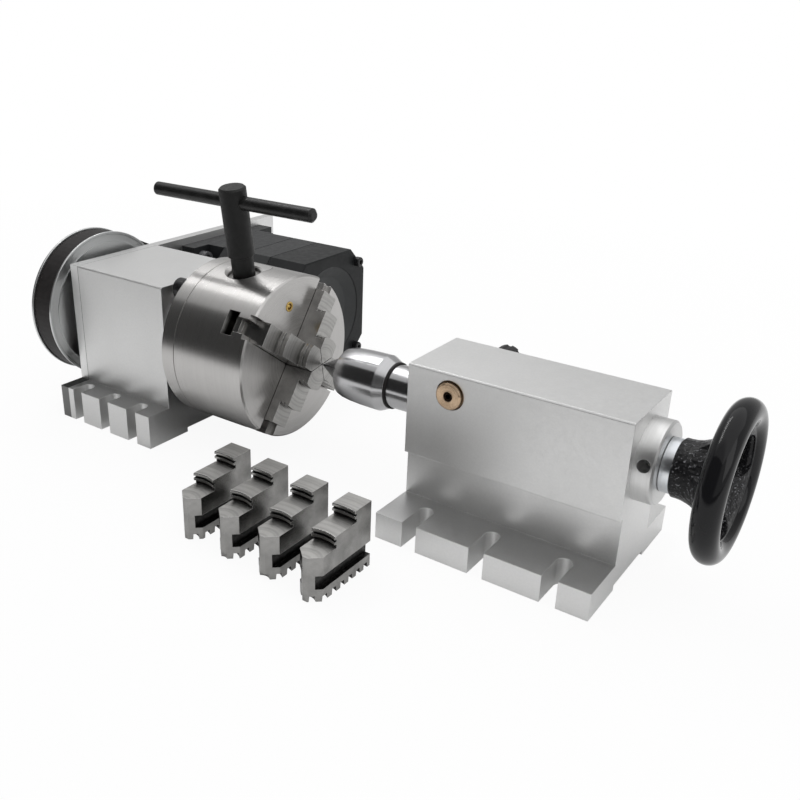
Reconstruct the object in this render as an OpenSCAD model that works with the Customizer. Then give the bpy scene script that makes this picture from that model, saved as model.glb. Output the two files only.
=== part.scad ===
// Rotary axis for a milling machine: a belt driven headstock with a four jaw scroll chuck,
// a tailstock with a live centre, a set of four outside jaws and the chuck key.
// X runs along the spindle towards the tailstock, Y to the back, Z up from the table.
// The origin lies on the table, under the spindle axis, at the middle of the headstock foot.

/* [Headstock] */
// Height of the spindle axis over the table
axis_h = 65; // [60:1:75]
// Length of the headstock block
block_l = 78; // [72:1:100]
// Width of the headstock block
block_w = 71; // [71:1:84]
// Height of the headstock block
block_h = 102; // [100:1:116]
// Width of the headstock foot
head_foot_w = 106; // [104:1:116]
// Thickness of the headstock foot
head_foot_t = 22; // [16:1:24]
// Distance between the clamping slots of the headstock
head_slot_pitch = 26; // [22:1:30]
// Depth of the clamping slots of the headstock
head_slot_depth = 13.5; // [10:0.5:14]
// Thickness of the plate that carries the motor
plate_t = 7; // [6:0.5:12]
// Reach of the motor plate behind the spindle axis
plate_reach = 161; // [155:1:180]
// Width of the clamping slots
slot_w = 8.5; // [6:0.5:10]
// Width of the relief under each foot
relief_w = 40; // [20:1:44]
// Depth of the relief under each foot
relief_d = 3; // [1:0.5:5]

/* [Motor] */
// Side of the square motor frame
motor_w = 86; // [80:1:90]
// Length of the motor body
motor_l = 102; // [90:1:140]
// Distance of the motor axis behind the spindle axis
motor_y = 102; // [100:1:112]
// Height of the motor axis over the table
motor_z = 54; // [52:1:58]
// Thickness of the motor flange
motor_flange_t = 12; // [8:0.5:14]
// Length of the rear cap of the motor
motor_cap_l = 25.5; // [20:0.5:30]
// Distance of the motor screws from the sides of the frame
motor_screw_edge = 8.2; // [7:0.2:9]
// Diameter of the centring boss on the motor flange
pilot_d = 73; // [50:1:80]
// Diameter of the motor shaft
motor_shaft_d = 14; // [10:0.5:16]
// Notch in the corners of the motor housing
motor_corner = 15; // [14:0.5:18]

/* [Belt drive] */
// Pitch of the toothed belt
belt_pitch = 5; // [4.9:0.05:5.1]
// Teeth of the pulley on the spindle
big_teeth = 60; // [56:1:62]
// Teeth of the pulley on the motor
small_teeth = 15; // [15:1:20]
// Width of the belt
belt_w = 15; // [9:0.5:15.5]
// Width of the toothed part of the pulleys
pulley_w = 17; // [16.5:0.5:20]
// Gap between the motor plate and the big pulley
pulley_gap = 7; // [4:0.5:10]
// Thickness of the pulley flanges
pulley_flange_t = 1.5; // [1:0.25:2]
// Thickness of the belt behind its teeth
belt_t = 1.7; // [1.2:0.1:2]

/* [Spindle] */
// Bore of the spindle bearings
bearing_bore = 30; // [28:0.5:30]
// Outer diameter of the spindle bearings
bearing_od = 55; // [54:0.5:55]
// Width of the spindle bearings
bearing_w = 13; // [12:0.5:14]
// Hole through the spindle
spindle_bore = 16; // [6:0.5:17]
// Diameter of the spindle under the big pulley
pulley_seat_d = 25; // [22:0.5:27]

/* [Chuck] */
// Diameter of the chuck
chuck_d = 100; // [98:1:110]
// Length of the chuck body
chuck_l = 54; // [52:0.5:60]
// Thickness of the plate behind the chuck
backplate_t = 9.5; // [8:0.5:14]
// Gap between the headstock block and the plate behind the chuck
chuck_gap = 13; // [12.5:0.5:18]
// Turn of the chuck from upright, towards the front
chuck_angle = 8.8; // [0:0.2:20]
// Pitch of the scroll
scroll_pitch = 5; // [4.5:0.1:5.5]
// Height of the jaws over the chuck face
jaw_out = 19.5; // [16:0.5:24]
// Width of the jaws
jaw_w = 14; // [12:0.5:16]
// Length of the jaws at their teeth
jaw_l = 45; // [44:0.1:47]
// Height of a jaw from the tips of its teeth to its top
jaw_h = 39; // [38:0.5:42]
// Width of the neck between the side grooves of a jaw
jaw_neck_w = 8.4; // [7:0.2:9]
// Distance between the spare jaws
spare_pitch = 28; // [20:1:40]

/* [Chuck key] */
// Diameter of the grip of the key
key_d = 16; // [14:0.5:17]
// Diameter of the lower shank of the key
key_shank_d = 13.6; // [12:0.2:13.8]
// Distance from the spindle axis to the top of the key
key_top_r = 101.3; // [98:0.1:102]
// Distance from the spindle axis to the cross bar
key_bar_r = 92.5; // [90:0.1:93]
// Diameter of the cross bar
key_bar_d = 8; // [7:0.1:8]
// Length of the cross bar
key_bar_l = 122; // [100:1:124]
// Side of the square end of the key
key_square = 8; // [7:0.1:9]

/* [Tailstock] */
// Gap between the chuck face and the tailstock
tail_gap = 95; // [90:1:140]
// Length of the tailstock
tail_l = 120; // [116:1:150]
// Width of the tailstock block
tail_w = 50; // [48:1:60]
// Height of the tailstock block
tail_h = 92; // [90:1:104]
// Width of the tailstock below its step
tail_low_w = 43; // [40:1:46]
// Height of the step in the side of the tailstock
tail_step_h = 41; // [36:1:48]
// Width of the tailstock foot
tail_foot_w = 102; // [96:1:112]
// Thickness of the tailstock foot
tail_foot_t = 15; // [12:0.5:20]
// Distance between the clamping slots of the tailstock
tail_slot_pitch = 39.3; // [36:0.1:44]
// Depth of the clamping slots of the tailstock
tail_slot_depth = 21; // [16:0.5:24]
// Diameter of the quill
quill_d = 25; // [24:0.5:26]
// Travel of the quill
quill_travel = 20; // [12:1:20]
// Diameter of the head of the live centre
centre_d = 32.4; // [31:0.2:34]
// Length of the round head of the live centre
centre_l = 28; // [27:0.5:34]
// Diameter of the clamping sleeves of the quill
cotter_d = 16; // [14:0.5:17]
// Diameter of the handwheel
wheel_d = 79.4; // [72:0.2:110]
// Diameter of the rim of the handwheel
wheel_rim_d = 13; // [10:0.5:15]
// Distance from the tailstock to the middle of the handwheel rim
wheel_out = 38.5; // [38:0.5:46]
// Diameter of the lead screw
lead_d = 16; // [14:0.5:16]

/* [Fits] */
// Radial gap of a part that turns or slides in its bore
running = 0.05; // [0.03:0.01:0.1]
// Gap between moving faces
gap = 0.3; // [0.2:0.05:0.4]

/* [Hidden] */
$fn = 96;

silver = "gainsboro";
steel = "silver";
dark_steel = "dimgray";
black = "#1c1c1e";
bronze = "#b08d57";
brass = "#c9a13b";
zinc = "#c9ccd1";

// Stations along the spindle
foot_l = block_l + plate_t;
plate_x0 = -foot_l / 2;
block_x0 = plate_x0 + plate_t;
block_x1 = block_x0 + block_l;
backplate_x0 = block_x1 + chuck_gap;
body_x0 = backplate_x0 + backplate_t;
face_x = body_x0 + chuck_l;
jaw_top_x = face_x + jaw_out;
tip_x = jaw_top_x + gap;
tail_x0 = face_x + tail_gap;
tail_x1 = tail_x0 + tail_l;

// Headstock details
edge = 0.8;
bore_lip = 2;
bearing_shoulder_d = bearing_od - 7;
cover_d = bearing_od + 15;
cover_t = 3.5;
cover_hole_r = (cover_d + bearing_od) / 4;
plate_screw_y = block_w / 2 - 8.5;
plate_screw_z = 27;
plate_screw_d = 6;
plate_screw_l = plate_t + 11;
cover_screw_d = 4;
cover_screw_l = cover_t + 8;
plate_low = 9;

// Bearings: gap between the rings, depth of the tracks and number of balls
ring_gap = 0.34;
spindle_balls = 13;
centre_balls = 9;
ball_play = 0.06;

// Motor
motor_screw_pitch = motor_w - 2 * motor_screw_edge;
motor_screw_d = 6;
tie_screw_d = 4;
tie_screw_l = 6;
notch_round = 3;
cap_shoulder = 8;
cap_ring_r = motor_w / 2 - 6.5;
cap_ring_w = 8.5;
cap_ring_depth = 3;
cap_dome_r = cap_ring_r - 13.5;
cap_dome_depth = 0.8;
motor_bearing_r = 16;
motor_bearing_w = 9;
motor_x1 = block_x0 + motor_l;
cap_x0 = motor_x1 - motor_cap_l;
stator_x0 = block_x0 + motor_flange_t;
rotor_r = 24;

// Pulleys
belt_line = 0.57;
belt_tooth_h = 2;
belt_tooth_w = 2.6;
pulley_x1 = plate_x0 - pulley_gap;
teeth_x1 = pulley_x1 - pulley_flange_t;
teeth_x0 = teeth_x1 - pulley_w;
pulley_x0 = teeth_x0 - pulley_flange_t;
belt_x = (teeth_x0 + teeth_x1) / 2;
big_tip_r = big_teeth * belt_pitch / PI / 2 - belt_line;
small_tip_r = small_teeth * belt_pitch / PI / 2 - belt_line;
flange_rise = 4.8;
big_hub_d = bearing_bore + 8;
pulley_lip_r = big_tip_r - 3.5;
// The line between the two pulley axes, and the angle of the free belt runs to it
axis_gap = norm([motor_y, motor_z - axis_h]);
run_angle = asin((big_tip_r - small_tip_r) / axis_gap);
run_l = axis_gap * cos(run_angle);
belt_play = 0.3;
belt_steps = 48;

// Spindle
spindle_x0 = pulley_x0 - 10.5;
nut_t = 8;
nut_d = 38;
front_race_x = block_x1 - bore_lip - bearing_w;
neck_d = bearing_bore + 6;
spindle_flange_d = 60;
spindle_flange_t = 4;
backplate_screw_r = 24;
backplate_screw_d = 5;
chuck_bolt_r = chuck_d / 2 - 7;
chuck_bolt_d = 8;
chuck_bolt_angle = 25.7;
chuck_bolt_l = 16;

// Chuck, along its axis
jaw_base_x = face_x + jaw_out - jaw_h;
tooth_h = 3.7;
jaw_base_h = 7.7;
rib_h = 7.5;
rib_x0 = jaw_base_x + jaw_base_h + gap;
rib_x1 = rib_x0 + rib_h;
web_x = jaw_base_x + tooth_h;
scroll_x1 = jaw_base_x - gap;
scroll_t = 6.2;
scroll_x0 = scroll_x1 - scroll_t;
slot_play = 0.3;
// Chuck, across its axis
chuck_bore_r = 11;
hub_r = 15.5;
scroll_r = chuck_d / 2 - 14;
recess_r = scroll_r + 0.5;
spigot_l = 3;
cover_plate_t = 4;
jaw_nose_r = 0.3;
jaw_flat = 0.3;
jaw_setback = 3;
jaw_steps = [jaw_l * 0.355, jaw_l * 0.69];
outside_steps = [jaw_l * 0.61, jaw_l * 0.255];
jaw_body_z = jaw_base_h + rib_h + 2 * gap;
jaw_step_h = 6.6;
grip_groove = 1;
oiler_r = 34;
oiler_d = 6;
oiler_angle = 2;
spare_x0 = face_x + 18.5;
spare_y = -69.3;
spare_shift = 1.7;

// Scroll thread and the jaw teeth that run in it
thread_w = scroll_pitch * 0.46;
tooth_t = scroll_pitch - thread_w - 0.6;
thread_first_r = hub_r + 2.4;
thread_quarters = floor((scroll_r - 1.4 - thread_first_r) / (scroll_pitch / 4));
tooth_outer_r = 14;
tooth_inner_r = 36;

// Bevel drive of the scroll
gear_module = 1.3;
pinion_teeth = 10;
crown_teeth = 40;
pinion_pitch_r = gear_module * pinion_teeth / 2;
crown_r = gear_module * crown_teeth / 2;
addendum = 1.2;
crown_depth = 1.5;
pinion_x = scroll_x0 - crown_depth - pinion_pitch_r;
gear_l = 5;
pinion_collar_d = 20;
pinion_neck_d = 12;
pinion_journal_d = 6;
pinion_face_r = chuck_d / 2 - 3.5;
pinion_bevel = 1.4;

// Key
key_step_r = 60;
key_tip_r = pinion_face_r - 8;
key_seat_r = pinion_face_r + gap;
key_bar_shift = -2.5;
square_play = 0.15;

// Tailstock
centre_x0 = tip_x + 17;
centre_x1 = centre_x0 + centre_l;
point_base_r = (centre_x0 - tip_x) * tan(30);
seal_t = 1.6;
quill_x0 = centre_x1 + seal_t + gap;
quill_l = 109;
quill_x1 = quill_x0 + quill_l;
shank_d = 18;
shank_l = 48;
journal_d = 12;
centre_bore_d = centre_d - 4.4;
centre_race_w = 8;
centre_race_x = [centre_x1 - 2 - centre_race_w, centre_x1 - 4 - 2 * centre_race_w];
nut_l = 20;
nut_od = 20;
lead_x0 = quill_x0 + shank_l + quill_travel + 6;
stud_d = 5;
cotter_x = tail_x0 + 25.2;
cotter_z = axis_h + quill_d / 2 + stud_d / 2 + 0.4;
cotter_gap = 3;
knob_d = 17;
knob_l = 14;
knob_groove_d = 3.6;
collar_d = 42;
collar_t = 10;
collar_spigot = 8;
collar_spigot_d = 34;
thrust_d = 26;
thrust_t = 3;
thrust_x1 = tail_x1 - collar_spigot + 2 * thrust_t + 2 * gap;
screw_neck_d = 12;
sleeve_d = 27;
sleeve_l = 4.7;
hub_left_r = 14.5;
hub_x0 = tail_x1 + collar_t + gap + sleeve_l;
wheel_x = tail_x1 + wheel_out;
rim_r = (wheel_d - wheel_rim_d) / 2;
rim_tube_r = wheel_rim_d / 2;
hub_neck = 3;
flare_h = wheel_x - 4.4 - hub_x0 - hub_neck;
flare_w = rim_r - 5.3 - hub_left_r;
flare_r = (flare_w * flare_w + flare_h * flare_h) / 2 / flare_w;
hub_x1 = wheel_x - 6.4;
hub_right_r = 12;
window_r0 = hub_left_r + 0.7;
window_r1 = rim_r - rim_tube_r + 0.4;
window_half_angle = 17;
wheel_nut_t = 5;
wheel_nut_r = 9;
key_screw_d = 5;
keyway_d = 2.5;
keyway_w = 3.8;
key_screw_x = tail_x0 + 46;

// Places the children on the spindle axis: local Z runs along the spindle, local X points at the key.
module on_spindle() {
  translate([0, 0, axis_h]) rotate([0, 90, 0]) rotate([0, 0, 180 + chuck_angle]) children();
}

// Places the children on an axis along X, with local X pointing down.
module along_x(y, z) {
  translate([0, y, z]) rotate([0, 90, 0]) children();
}

module disc(x0, x1, r) {
  translate([0, 0, x0]) cylinder(h = x1 - x0, r = r);
}

module tube(x0, x1, r, bore_r) {
  translate([0, 0, x0]) difference() {
    cylinder(h = x1 - x0, r = r);
    translate([0, 0, -1]) cylinder(h = x1 - x0 + 2, r = bore_r);
  }
}

// Round the axis: copies of the children at a list of angles.
module at_angles(angles) {
  for (a = angles) rotate([0, 0, a]) children();
}

function four(start) = [for (i = [0:3]) start + 90 * i];

// Unit vector at an angle.
function ray(a) = [cos(a), sin(a)];

// Four places at the corners of a square, for screws along the axis.
module corners(spacing) {
  for (i = [-1, 1], j = [-1, 1]) translate([i * spacing / 2, j * spacing / 2, 0]) children();
}

// A socket head cap screw along local Z, with its head above z = 0 and its shank below.
module cap_screw(d, length) {
  difference() {
    union() {
      cylinder(h = d, d = d * 1.6);
      translate([0, 0, -length]) cylinder(h = length + 0.1, d = d);
    }
    translate([0, 0, d * 0.45]) cylinder(h = d, d = d * 0.95, $fn = 6);
  }
}

// A countersunk screw along local Z, flush at z = 0.
module flat_screw(d, length) {
  difference() {
    union() {
      translate([0, 0, -d / 2]) cylinder(h = d / 2, d1 = d, d2 = d * 2);
      translate([0, 0, -length]) cylinder(h = length - d / 2 + 0.01, d = d);
    }
    translate([0, 0, -d * 0.35]) cylinder(h = d, d = d * 0.7, $fn = 6);
  }
}

module flat_screw_hole(d, length) {
  translate([0, 0, -d / 2]) cylinder(h = d / 2 + 0.01, d1 = d, d2 = d * 2 + 0.04);
  translate([0, 0, -length]) cylinder(h = length, d = d);
}

// A foot with a row of open clamping slots in both sides and a relief along its underside.
module slotted_foot(x0, x1, width, height, pitch, depth) {
  middle = (x0 + x1) / 2;
  difference() {
    translate([x0, -width / 2, 0]) cube([x1 - x0, width, height]);
    for (side = [-1, 1], i = [-1:1]) {
      translate([middle + i * pitch, side * (width / 2 - depth + slot_w / 2), -1]) {
        cylinder(h = height + 2, d = slot_w);
        translate([-slot_w / 2, side > 0 ? 0 : -depth, 0]) cube([slot_w, depth, height + 2]);
      }
    }
    translate([x0 - 1, -relief_w / 2, -1]) cube([x1 - x0 + 2, relief_w, relief_d + 1]);
  }
}

// A bar along X with its long edges broken, standing on z0.
module broken_bar(x0, x1, width, z0, z1) {
  translate([x0, 0, 0]) rotate([90, 0, 90]) linear_extrude(x1 - x0) polygon([
    [-width / 2, z0], [width / 2, z0], [width / 2, z1 - edge], [width / 2 - edge, z1],
    [-width / 2 + edge, z1], [-width / 2, z1 - edge]
  ]);
}

module headstock_block() color(silver) {
  difference() {
    union() {
      slotted_foot(plate_x0, block_x1, head_foot_w, head_foot_t, head_slot_pitch, head_slot_depth);
      broken_bar(block_x0, block_x1, block_w, relief_d, block_h);
    }
    along_x(0, axis_h) {
      disc(block_x0 - 1, block_x1 + 1, bearing_shoulder_d / 2);
      disc(block_x0 - plate_t - 1, block_x0 + bearing_w, bearing_od / 2);
      disc(front_race_x, block_x1 + 1, bearing_od / 2);
      at_angles(four(45)) translate([cover_hole_r, 0, block_x1 + cover_t - cover_screw_l - 1])
        cylinder(h = cover_screw_l, d = cover_screw_d);
    }
    plate_screw_places() mirror([0, 0, 1]) cylinder(h = plate_screw_l + 1, d = plate_screw_d);
  }
}

// The four screws of the motor plate: local Z points out of the plate.
module plate_screw_places() {
  for (y = [-1, 1], z = [-1, 1]) translate([plate_x0, y * plate_screw_y, axis_h + z * plate_screw_z])
    rotate([0, -90, 0]) children();
}

module plate_outline() {
  front = -block_w / 2;
  polygon([
    [front, head_foot_t], [head_foot_w / 2 + 1, head_foot_t], [head_foot_w / 2 + 1, plate_low],
    [plate_reach, plate_low], [plate_reach, block_h], [front, block_h]
  ]);
}

module motor_plate() color(silver) {
  difference() {
    translate([plate_x0, 0, 0]) rotate([90, 0, 90]) linear_extrude(plate_t) plate_outline();
    along_x(0, axis_h) disc(plate_x0 - 1, block_x0 + 1, big_hub_d / 2 + 3);
    along_x(motor_y, motor_z) {
      disc(plate_x0 - 1, block_x0 + 1, pilot_d / 2 + running);
      corners(motor_screw_pitch) translate([0, 0, plate_x0 - 1]) cylinder(h = plate_t + 2, d = motor_screw_d);
    }
    plate_screw_places() flat_screw_hole(plate_screw_d, plate_t + 1);
  }
}

module plate_screws() color(black) plate_screw_places() flat_screw(plate_screw_d, plate_screw_l);

// One deep groove bearing along local Z from x0: "outer" ring, "inner" ring or "balls".
module ball_bearing(x0, bore, od, width, part, balls) {
  pitch_r = (bore + od) / 4;
  ball_r = (od - bore) / 4 * 0.56;
  half = ball_r * 0.5;
  if (part == "outer") difference() {
    tube(x0, x0 + width, od / 2, pitch_r + half);
    translate([0, 0, x0 + width / 2]) rotate_extrude() translate([pitch_r, 0]) circle(r = ball_r + ball_play);
  }
  if (part == "inner") difference() {
    tube(x0, x0 + width, pitch_r - half, bore / 2);
    translate([0, 0, x0 + width / 2]) rotate_extrude() translate([pitch_r, 0]) circle(r = ball_r + ball_play);
  }
  if (part == "balls") for (i = [0:balls - 1])
    rotate([0, 0, 360 * i / balls]) translate([pitch_r, 0, x0 + width / 2]) sphere(r = ball_r, $fn = 32);
}

module spindle_bearings(part) color(steel) along_x(0, axis_h) for (x = [block_x0, front_race_x])
  ball_bearing(x, bearing_bore, bearing_od, bearing_w, part, spindle_balls);

module bearing_cover() color(silver) along_x(0, axis_h) difference() {
  union() {
    disc(block_x1, block_x1 + cover_t, cover_d / 2);
    disc(front_race_x + bearing_w, block_x1 + 0.1, bearing_od / 2);
  }
  disc(front_race_x, block_x1 + cover_t + 1, neck_d / 2 + 0.5);
  disc(front_race_x, block_x1, bearing_shoulder_d / 2);
  at_angles(four(45)) translate([cover_hole_r, 0, block_x1 + cover_t])
    flat_screw_hole(cover_screw_d, cover_t + 1);
}

module cover_screws() color(black) along_x(0, axis_h) at_angles(four(45))
  translate([cover_hole_r, 0, block_x1 + cover_t]) flat_screw(cover_screw_d, cover_screw_l);

// Square motor section with a notch in each corner, where the screws run along it.
module motor_section(notch) {
  difference() {
    square(motor_w, center = true);
    for (a = four(0)) rotate([0, 0, a]) translate([motor_w / 2 - notch, motor_w / 2 - notch]) {
      translate([notch_round, 0]) square(notch + 1);
      translate([0, notch_round]) square(notch + 1);
      translate([notch_round, notch_round]) circle(r = notch_round);
    }
  }
}

module motor_flange() color(black) along_x(motor_y, motor_z) difference() {
  union() {
    translate([0, 0, block_x0]) linear_extrude(motor_flange_t) square(motor_w, center = true);
    disc(block_x0 - 2, block_x0 + 0.1, pilot_d / 2);
  }
  disc(block_x0 - 3, block_x0 + motor_flange_t + 1, motor_shaft_d / 2 + 0.5);
  disc(block_x0 + 2, block_x0 + motor_flange_t + 1, motor_bearing_r);
  corners(motor_screw_pitch) translate([0, 0, block_x0 - 1])
    cylinder(h = motor_flange_t + 2, d = motor_screw_d);
}

module motor_stator() color("#46484b") along_x(motor_y, motor_z) difference() {
  translate([0, 0, stator_x0]) linear_extrude(cap_x0 - stator_x0) motor_section(motor_corner);
  disc(stator_x0 - 1, cap_x0 + 1, rotor_r + gap);
}

module motor_rear_cap() color("#3e4145") along_x(motor_y, motor_z) difference() {
  union() {
    translate([0, 0, cap_x0]) linear_extrude(motor_cap_l) motor_section(motor_corner);
    translate([0, 0, cap_x0]) linear_extrude(motor_cap_l / 2) motor_section(motor_corner - cap_shoulder);
  }
  disc(cap_x0 - 1, cap_x0 + motor_bearing_w + 3, motor_bearing_r);
  tube(motor_x1 - cap_ring_depth, motor_x1 + 1, cap_ring_r, cap_ring_r - cap_ring_w);
  disc(motor_x1 - cap_dome_depth, motor_x1 + 1, cap_dome_r);
  corners(motor_screw_pitch) translate([0, 0, cap_x0 - 1]) cylinder(h = motor_cap_l, d = tie_screw_d);
}

module motor_tie_screws() color(black) along_x(motor_y, motor_z)
  corners(motor_screw_pitch) translate([0, 0, cap_x0 + motor_cap_l / 2])
    cap_screw(tie_screw_d, motor_cap_l / 2 + tie_screw_l);

module motor_mount_screws() color(black) along_x(motor_y, motor_z)
  corners(motor_screw_pitch) translate([0, 0, block_x0 + motor_flange_t])
    cap_screw(motor_screw_d, motor_flange_t + plate_t - 0.5);

module motor_bearings() color(steel) along_x(motor_y, motor_z) {
  for (x = [block_x0 + motor_flange_t - 1 - motor_bearing_w, cap_x0 + 3])
    tube(x, x + motor_bearing_w, motor_bearing_r, motor_shaft_d / 2 + running);
}

module motor_shaft() color(steel) along_x(motor_y, motor_z)
  disc(pulley_x0 - 1, cap_x0 + motor_bearing_w + 2.5, motor_shaft_d / 2);

module motor_core() color(dark_steel) along_x(motor_y, motor_z)
  tube(stator_x0 + 1, cap_x0 - 1, rotor_r, motor_shaft_d / 2);

// Toothed ring of a belt pulley: round bottomed grooves cut into its rim.
module toothed_disc(teeth, tip_r) {
  difference() {
    circle(r = tip_r);
    for (i = [0:teeth - 1]) rotate([0, 0, 360 * i / teeth]) translate([tip_r, 0])
      circle(r = belt_tooth_w / 2 + 0.1);
  }
}

module motor_pulley() color(steel) along_x(motor_y, motor_z) difference() {
  union() {
    translate([0, 0, teeth_x0]) linear_extrude(pulley_w) toothed_disc(small_teeth, small_tip_r);
    disc(pulley_x0, teeth_x0, small_tip_r + flange_rise);
    disc(teeth_x1, pulley_x1, small_tip_r + flange_rise);
  }
  disc(pulley_x0 - 1, pulley_x1 + 1, motor_shaft_d / 2);
}

module large_pulley() color(silver) along_x(0, axis_h) difference() {
  union() {
    translate([0, 0, teeth_x0]) linear_extrude(pulley_w) toothed_disc(big_teeth, big_tip_r);
    disc(pulley_x0 - 0.5, teeth_x0, pulley_lip_r);
    disc(teeth_x1, pulley_x1 + 0.5, pulley_lip_r);
    disc(teeth_x1, block_x0, big_hub_d / 2);
  }
  disc(pulley_x0 - 1, block_x0 + 1, pulley_seat_d / 2);
  tube(pulley_x0 - 1, pulley_x0 + 4, pulley_lip_r - 5, big_hub_d / 2 + 4);
}

module pulley_flanges() color(silver) along_x(0, axis_h) {
  tube(pulley_x0, teeth_x0, big_tip_r + flange_rise, pulley_lip_r);
  tube(teeth_x1, pulley_x1, big_tip_r + flange_rise, pulley_lip_r);
}

// Outline round both pulleys at a distance over their tooth tips. Local X points at the motor.
module belt_outline(over) {
  wrap = 90 + run_angle;
  small_wrap = 180 - wrap;
  steps = [0:belt_steps];
  polygon(concat(
    [for (k = steps) (big_tip_r + over) * ray(180 - wrap + 2 * wrap * k / belt_steps)],
    [for (k = steps) [axis_gap, 0] + (small_tip_r + over) * ray(small_wrap * (2 * k / belt_steps - 1))]
  ));
}

// One tooth of the belt, pointing along negative X, with its root in the band.
module belt_tooth() polygon(concat(
  [[belt_t / 2, belt_tooth_w / 2]],
  [for (a = [90:22.5:270]) [belt_tooth_h * cos(a), belt_tooth_w / 2 * sin(a)]],
  [[belt_t / 2, -belt_tooth_w / 2]]
));

module timing_belt() color(black) along_x(0, axis_h) rotate([0, 0, atan2(motor_y, axis_h - motor_z)])
  translate([0, 0, belt_x - belt_w / 2]) linear_extrude(belt_w) {
    difference() {
      belt_outline(belt_play + belt_t);
      belt_outline(belt_play);
    }
    for (side = [-1, 1]) rotate([0, 0, side * (90 - run_angle)])
      for (i = [3:floor(run_l / belt_pitch) - 2])
        translate([big_tip_r + belt_play, -side * i * belt_pitch]) belt_tooth();
  }

module spindle_shaft() color(steel) along_x(0, axis_h) difference() {
  union() {
    disc(spindle_x0, block_x0, pulley_seat_d / 2);
    disc(block_x0, front_race_x + bearing_w, bearing_bore / 2);
    disc(front_race_x + bearing_w, body_x0 - 2, neck_d / 2);
    disc(backplate_x0 - spindle_flange_t, backplate_x0, spindle_flange_d / 2);
  }
  disc(spindle_x0 - 1, body_x0, spindle_bore / 2);
  rotate([0, 0, 180 + chuck_angle]) at_angles(four(45))
    translate([backplate_screw_r, 0, backplate_x0 - spindle_flange_t - 1])
      cylinder(h = spindle_flange_t + 2, d = backplate_screw_d);
}

module spindle_nut() color(dark_steel) along_x(0, axis_h) difference() {
  disc(pulley_x0 - 0.5 - nut_t, pulley_x0 - 0.5, nut_d / 2);
  disc(pulley_x0 - nut_t - 2, pulley_x0, pulley_seat_d / 2);
  at_angles(four(0)) translate([nut_d / 2 - 3, -2.5, pulley_x0 - nut_t - 1]) cube([4, 5, nut_t + 2]);
}

module chuck_backplate() color(steel) on_spindle() difference() {
  union() {
    disc(backplate_x0, body_x0, chuck_d / 2);
    disc(body_x0, body_x0 + spigot_l, recess_r - 0.02);
  }
  disc(backplate_x0 - 1, body_x0 + spigot_l + 1, neck_d / 2);
  at_angles(four(45)) translate([backplate_screw_r, 0, backplate_x0 - 1]) {
    cylinder(h = backplate_t + spigot_l + 2, d = backplate_screw_d);
    translate([0, 0, backplate_t + spigot_l + 1 - backplate_screw_d - 0.3]) cylinder(h = 10, d = 9);
  }
  chuck_bolt_places() translate([0, 0, backplate_x0 - 1]) cylinder(h = backplate_t + 2, d = chuck_bolt_d);
}

module chuck_bolt_places() at_angles([for (i = [0:2]) chuck_bolt_angle + 120 * i])
  translate([chuck_bolt_r, 0, 0]) children();

module backplate_screws() color(black) on_spindle() at_angles(four(45))
  translate([backplate_screw_r, 0, body_x0 + spigot_l - backplate_screw_d - 0.3])
    cap_screw(backplate_screw_d, backplate_t + spigot_l - backplate_screw_d - 0.3 + spindle_flange_t);

module chuck_bolts() color(black) on_spindle() chuck_bolt_places()
  translate([0, 0, backplate_x0]) mirror([0, 0, 1]) cap_screw(chuck_bolt_d, backplate_t + chuck_bolt_l);

// Cross section of a jaw slot, outward along local X, from the floor at z = 0 up to the face.
module jaw_slot() {
  width = jaw_w + 2 * slot_play;
  neck = jaw_neck_w + 2 * slot_play;
  reach = chuck_d / 2 + 2;
  translate([0, -neck / 2, scroll_x1]) cube([reach, neck, face_x - scroll_x1 + 1]);
  translate([0, -width / 2, scroll_x1]) cube([reach, width, rib_x0 - scroll_x1]);
  translate([0, -width / 2, rib_x1]) cube([reach, width, face_x - rib_x1 + 1]);
}

module chuck_body() color(steel) on_spindle() difference() {
  rotate_extrude() polygon([
    [chuck_bore_r, body_x0], [chuck_d / 2 - 0.6, body_x0], [chuck_d / 2, body_x0 + 0.6],
    [chuck_d / 2, face_x - 1], [chuck_d / 2 - 1, face_x], [chuck_bore_r, face_x]
  ]);
  disc(body_x0 - 1, body_x0 + spigot_l + cover_plate_t, recess_r);
  tube(body_x0, web_x, recess_r, hub_r);
  at_angles(four(45)) jaw_slot();
  at_angles([0, 180]) translate([0, 0, pinion_x]) rotate([0, 90, 0]) {
    translate([0, 0, recess_r - 1]) cylinder(h = chuck_d, d = pinion_collar_d + 2 * running);
    translate([0, 0, chuck_d / 2 - 2]) cylinder(h = 4, d1 = pinion_collar_d, d2 = pinion_collar_d + 8);
    translate([0, 0, chuck_bore_r - 1]) cylinder(h = 10, d = pinion_journal_d + 2 * running);
  }
  chuck_bolt_places() translate([0, 0, body_x0 - 1]) cylinder(h = chuck_bolt_l + 2, d = chuck_bolt_d);
  rotate([0, 0, oiler_angle]) translate([oiler_r, 0, face_x - 5]) cylinder(h = 6, d = oiler_d);
}

module face_oiler() color(brass) on_spindle() rotate([0, 0, oiler_angle]) translate([oiler_r, 0, 0]) {
  difference() {
    disc(face_x - 5, face_x + 0.3, oiler_d / 2);
    disc(face_x - 2, face_x + 1, oiler_d / 2 - 1.1);
  }
  translate([0, 0, face_x - 1.2]) sphere(r = 1.7);
}

module scroll_cover() color(steel) on_spindle()
  tube(body_x0 + spigot_l, body_x0 + spigot_l + cover_plate_t, recess_r - 0.1, chuck_bore_r);

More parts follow.
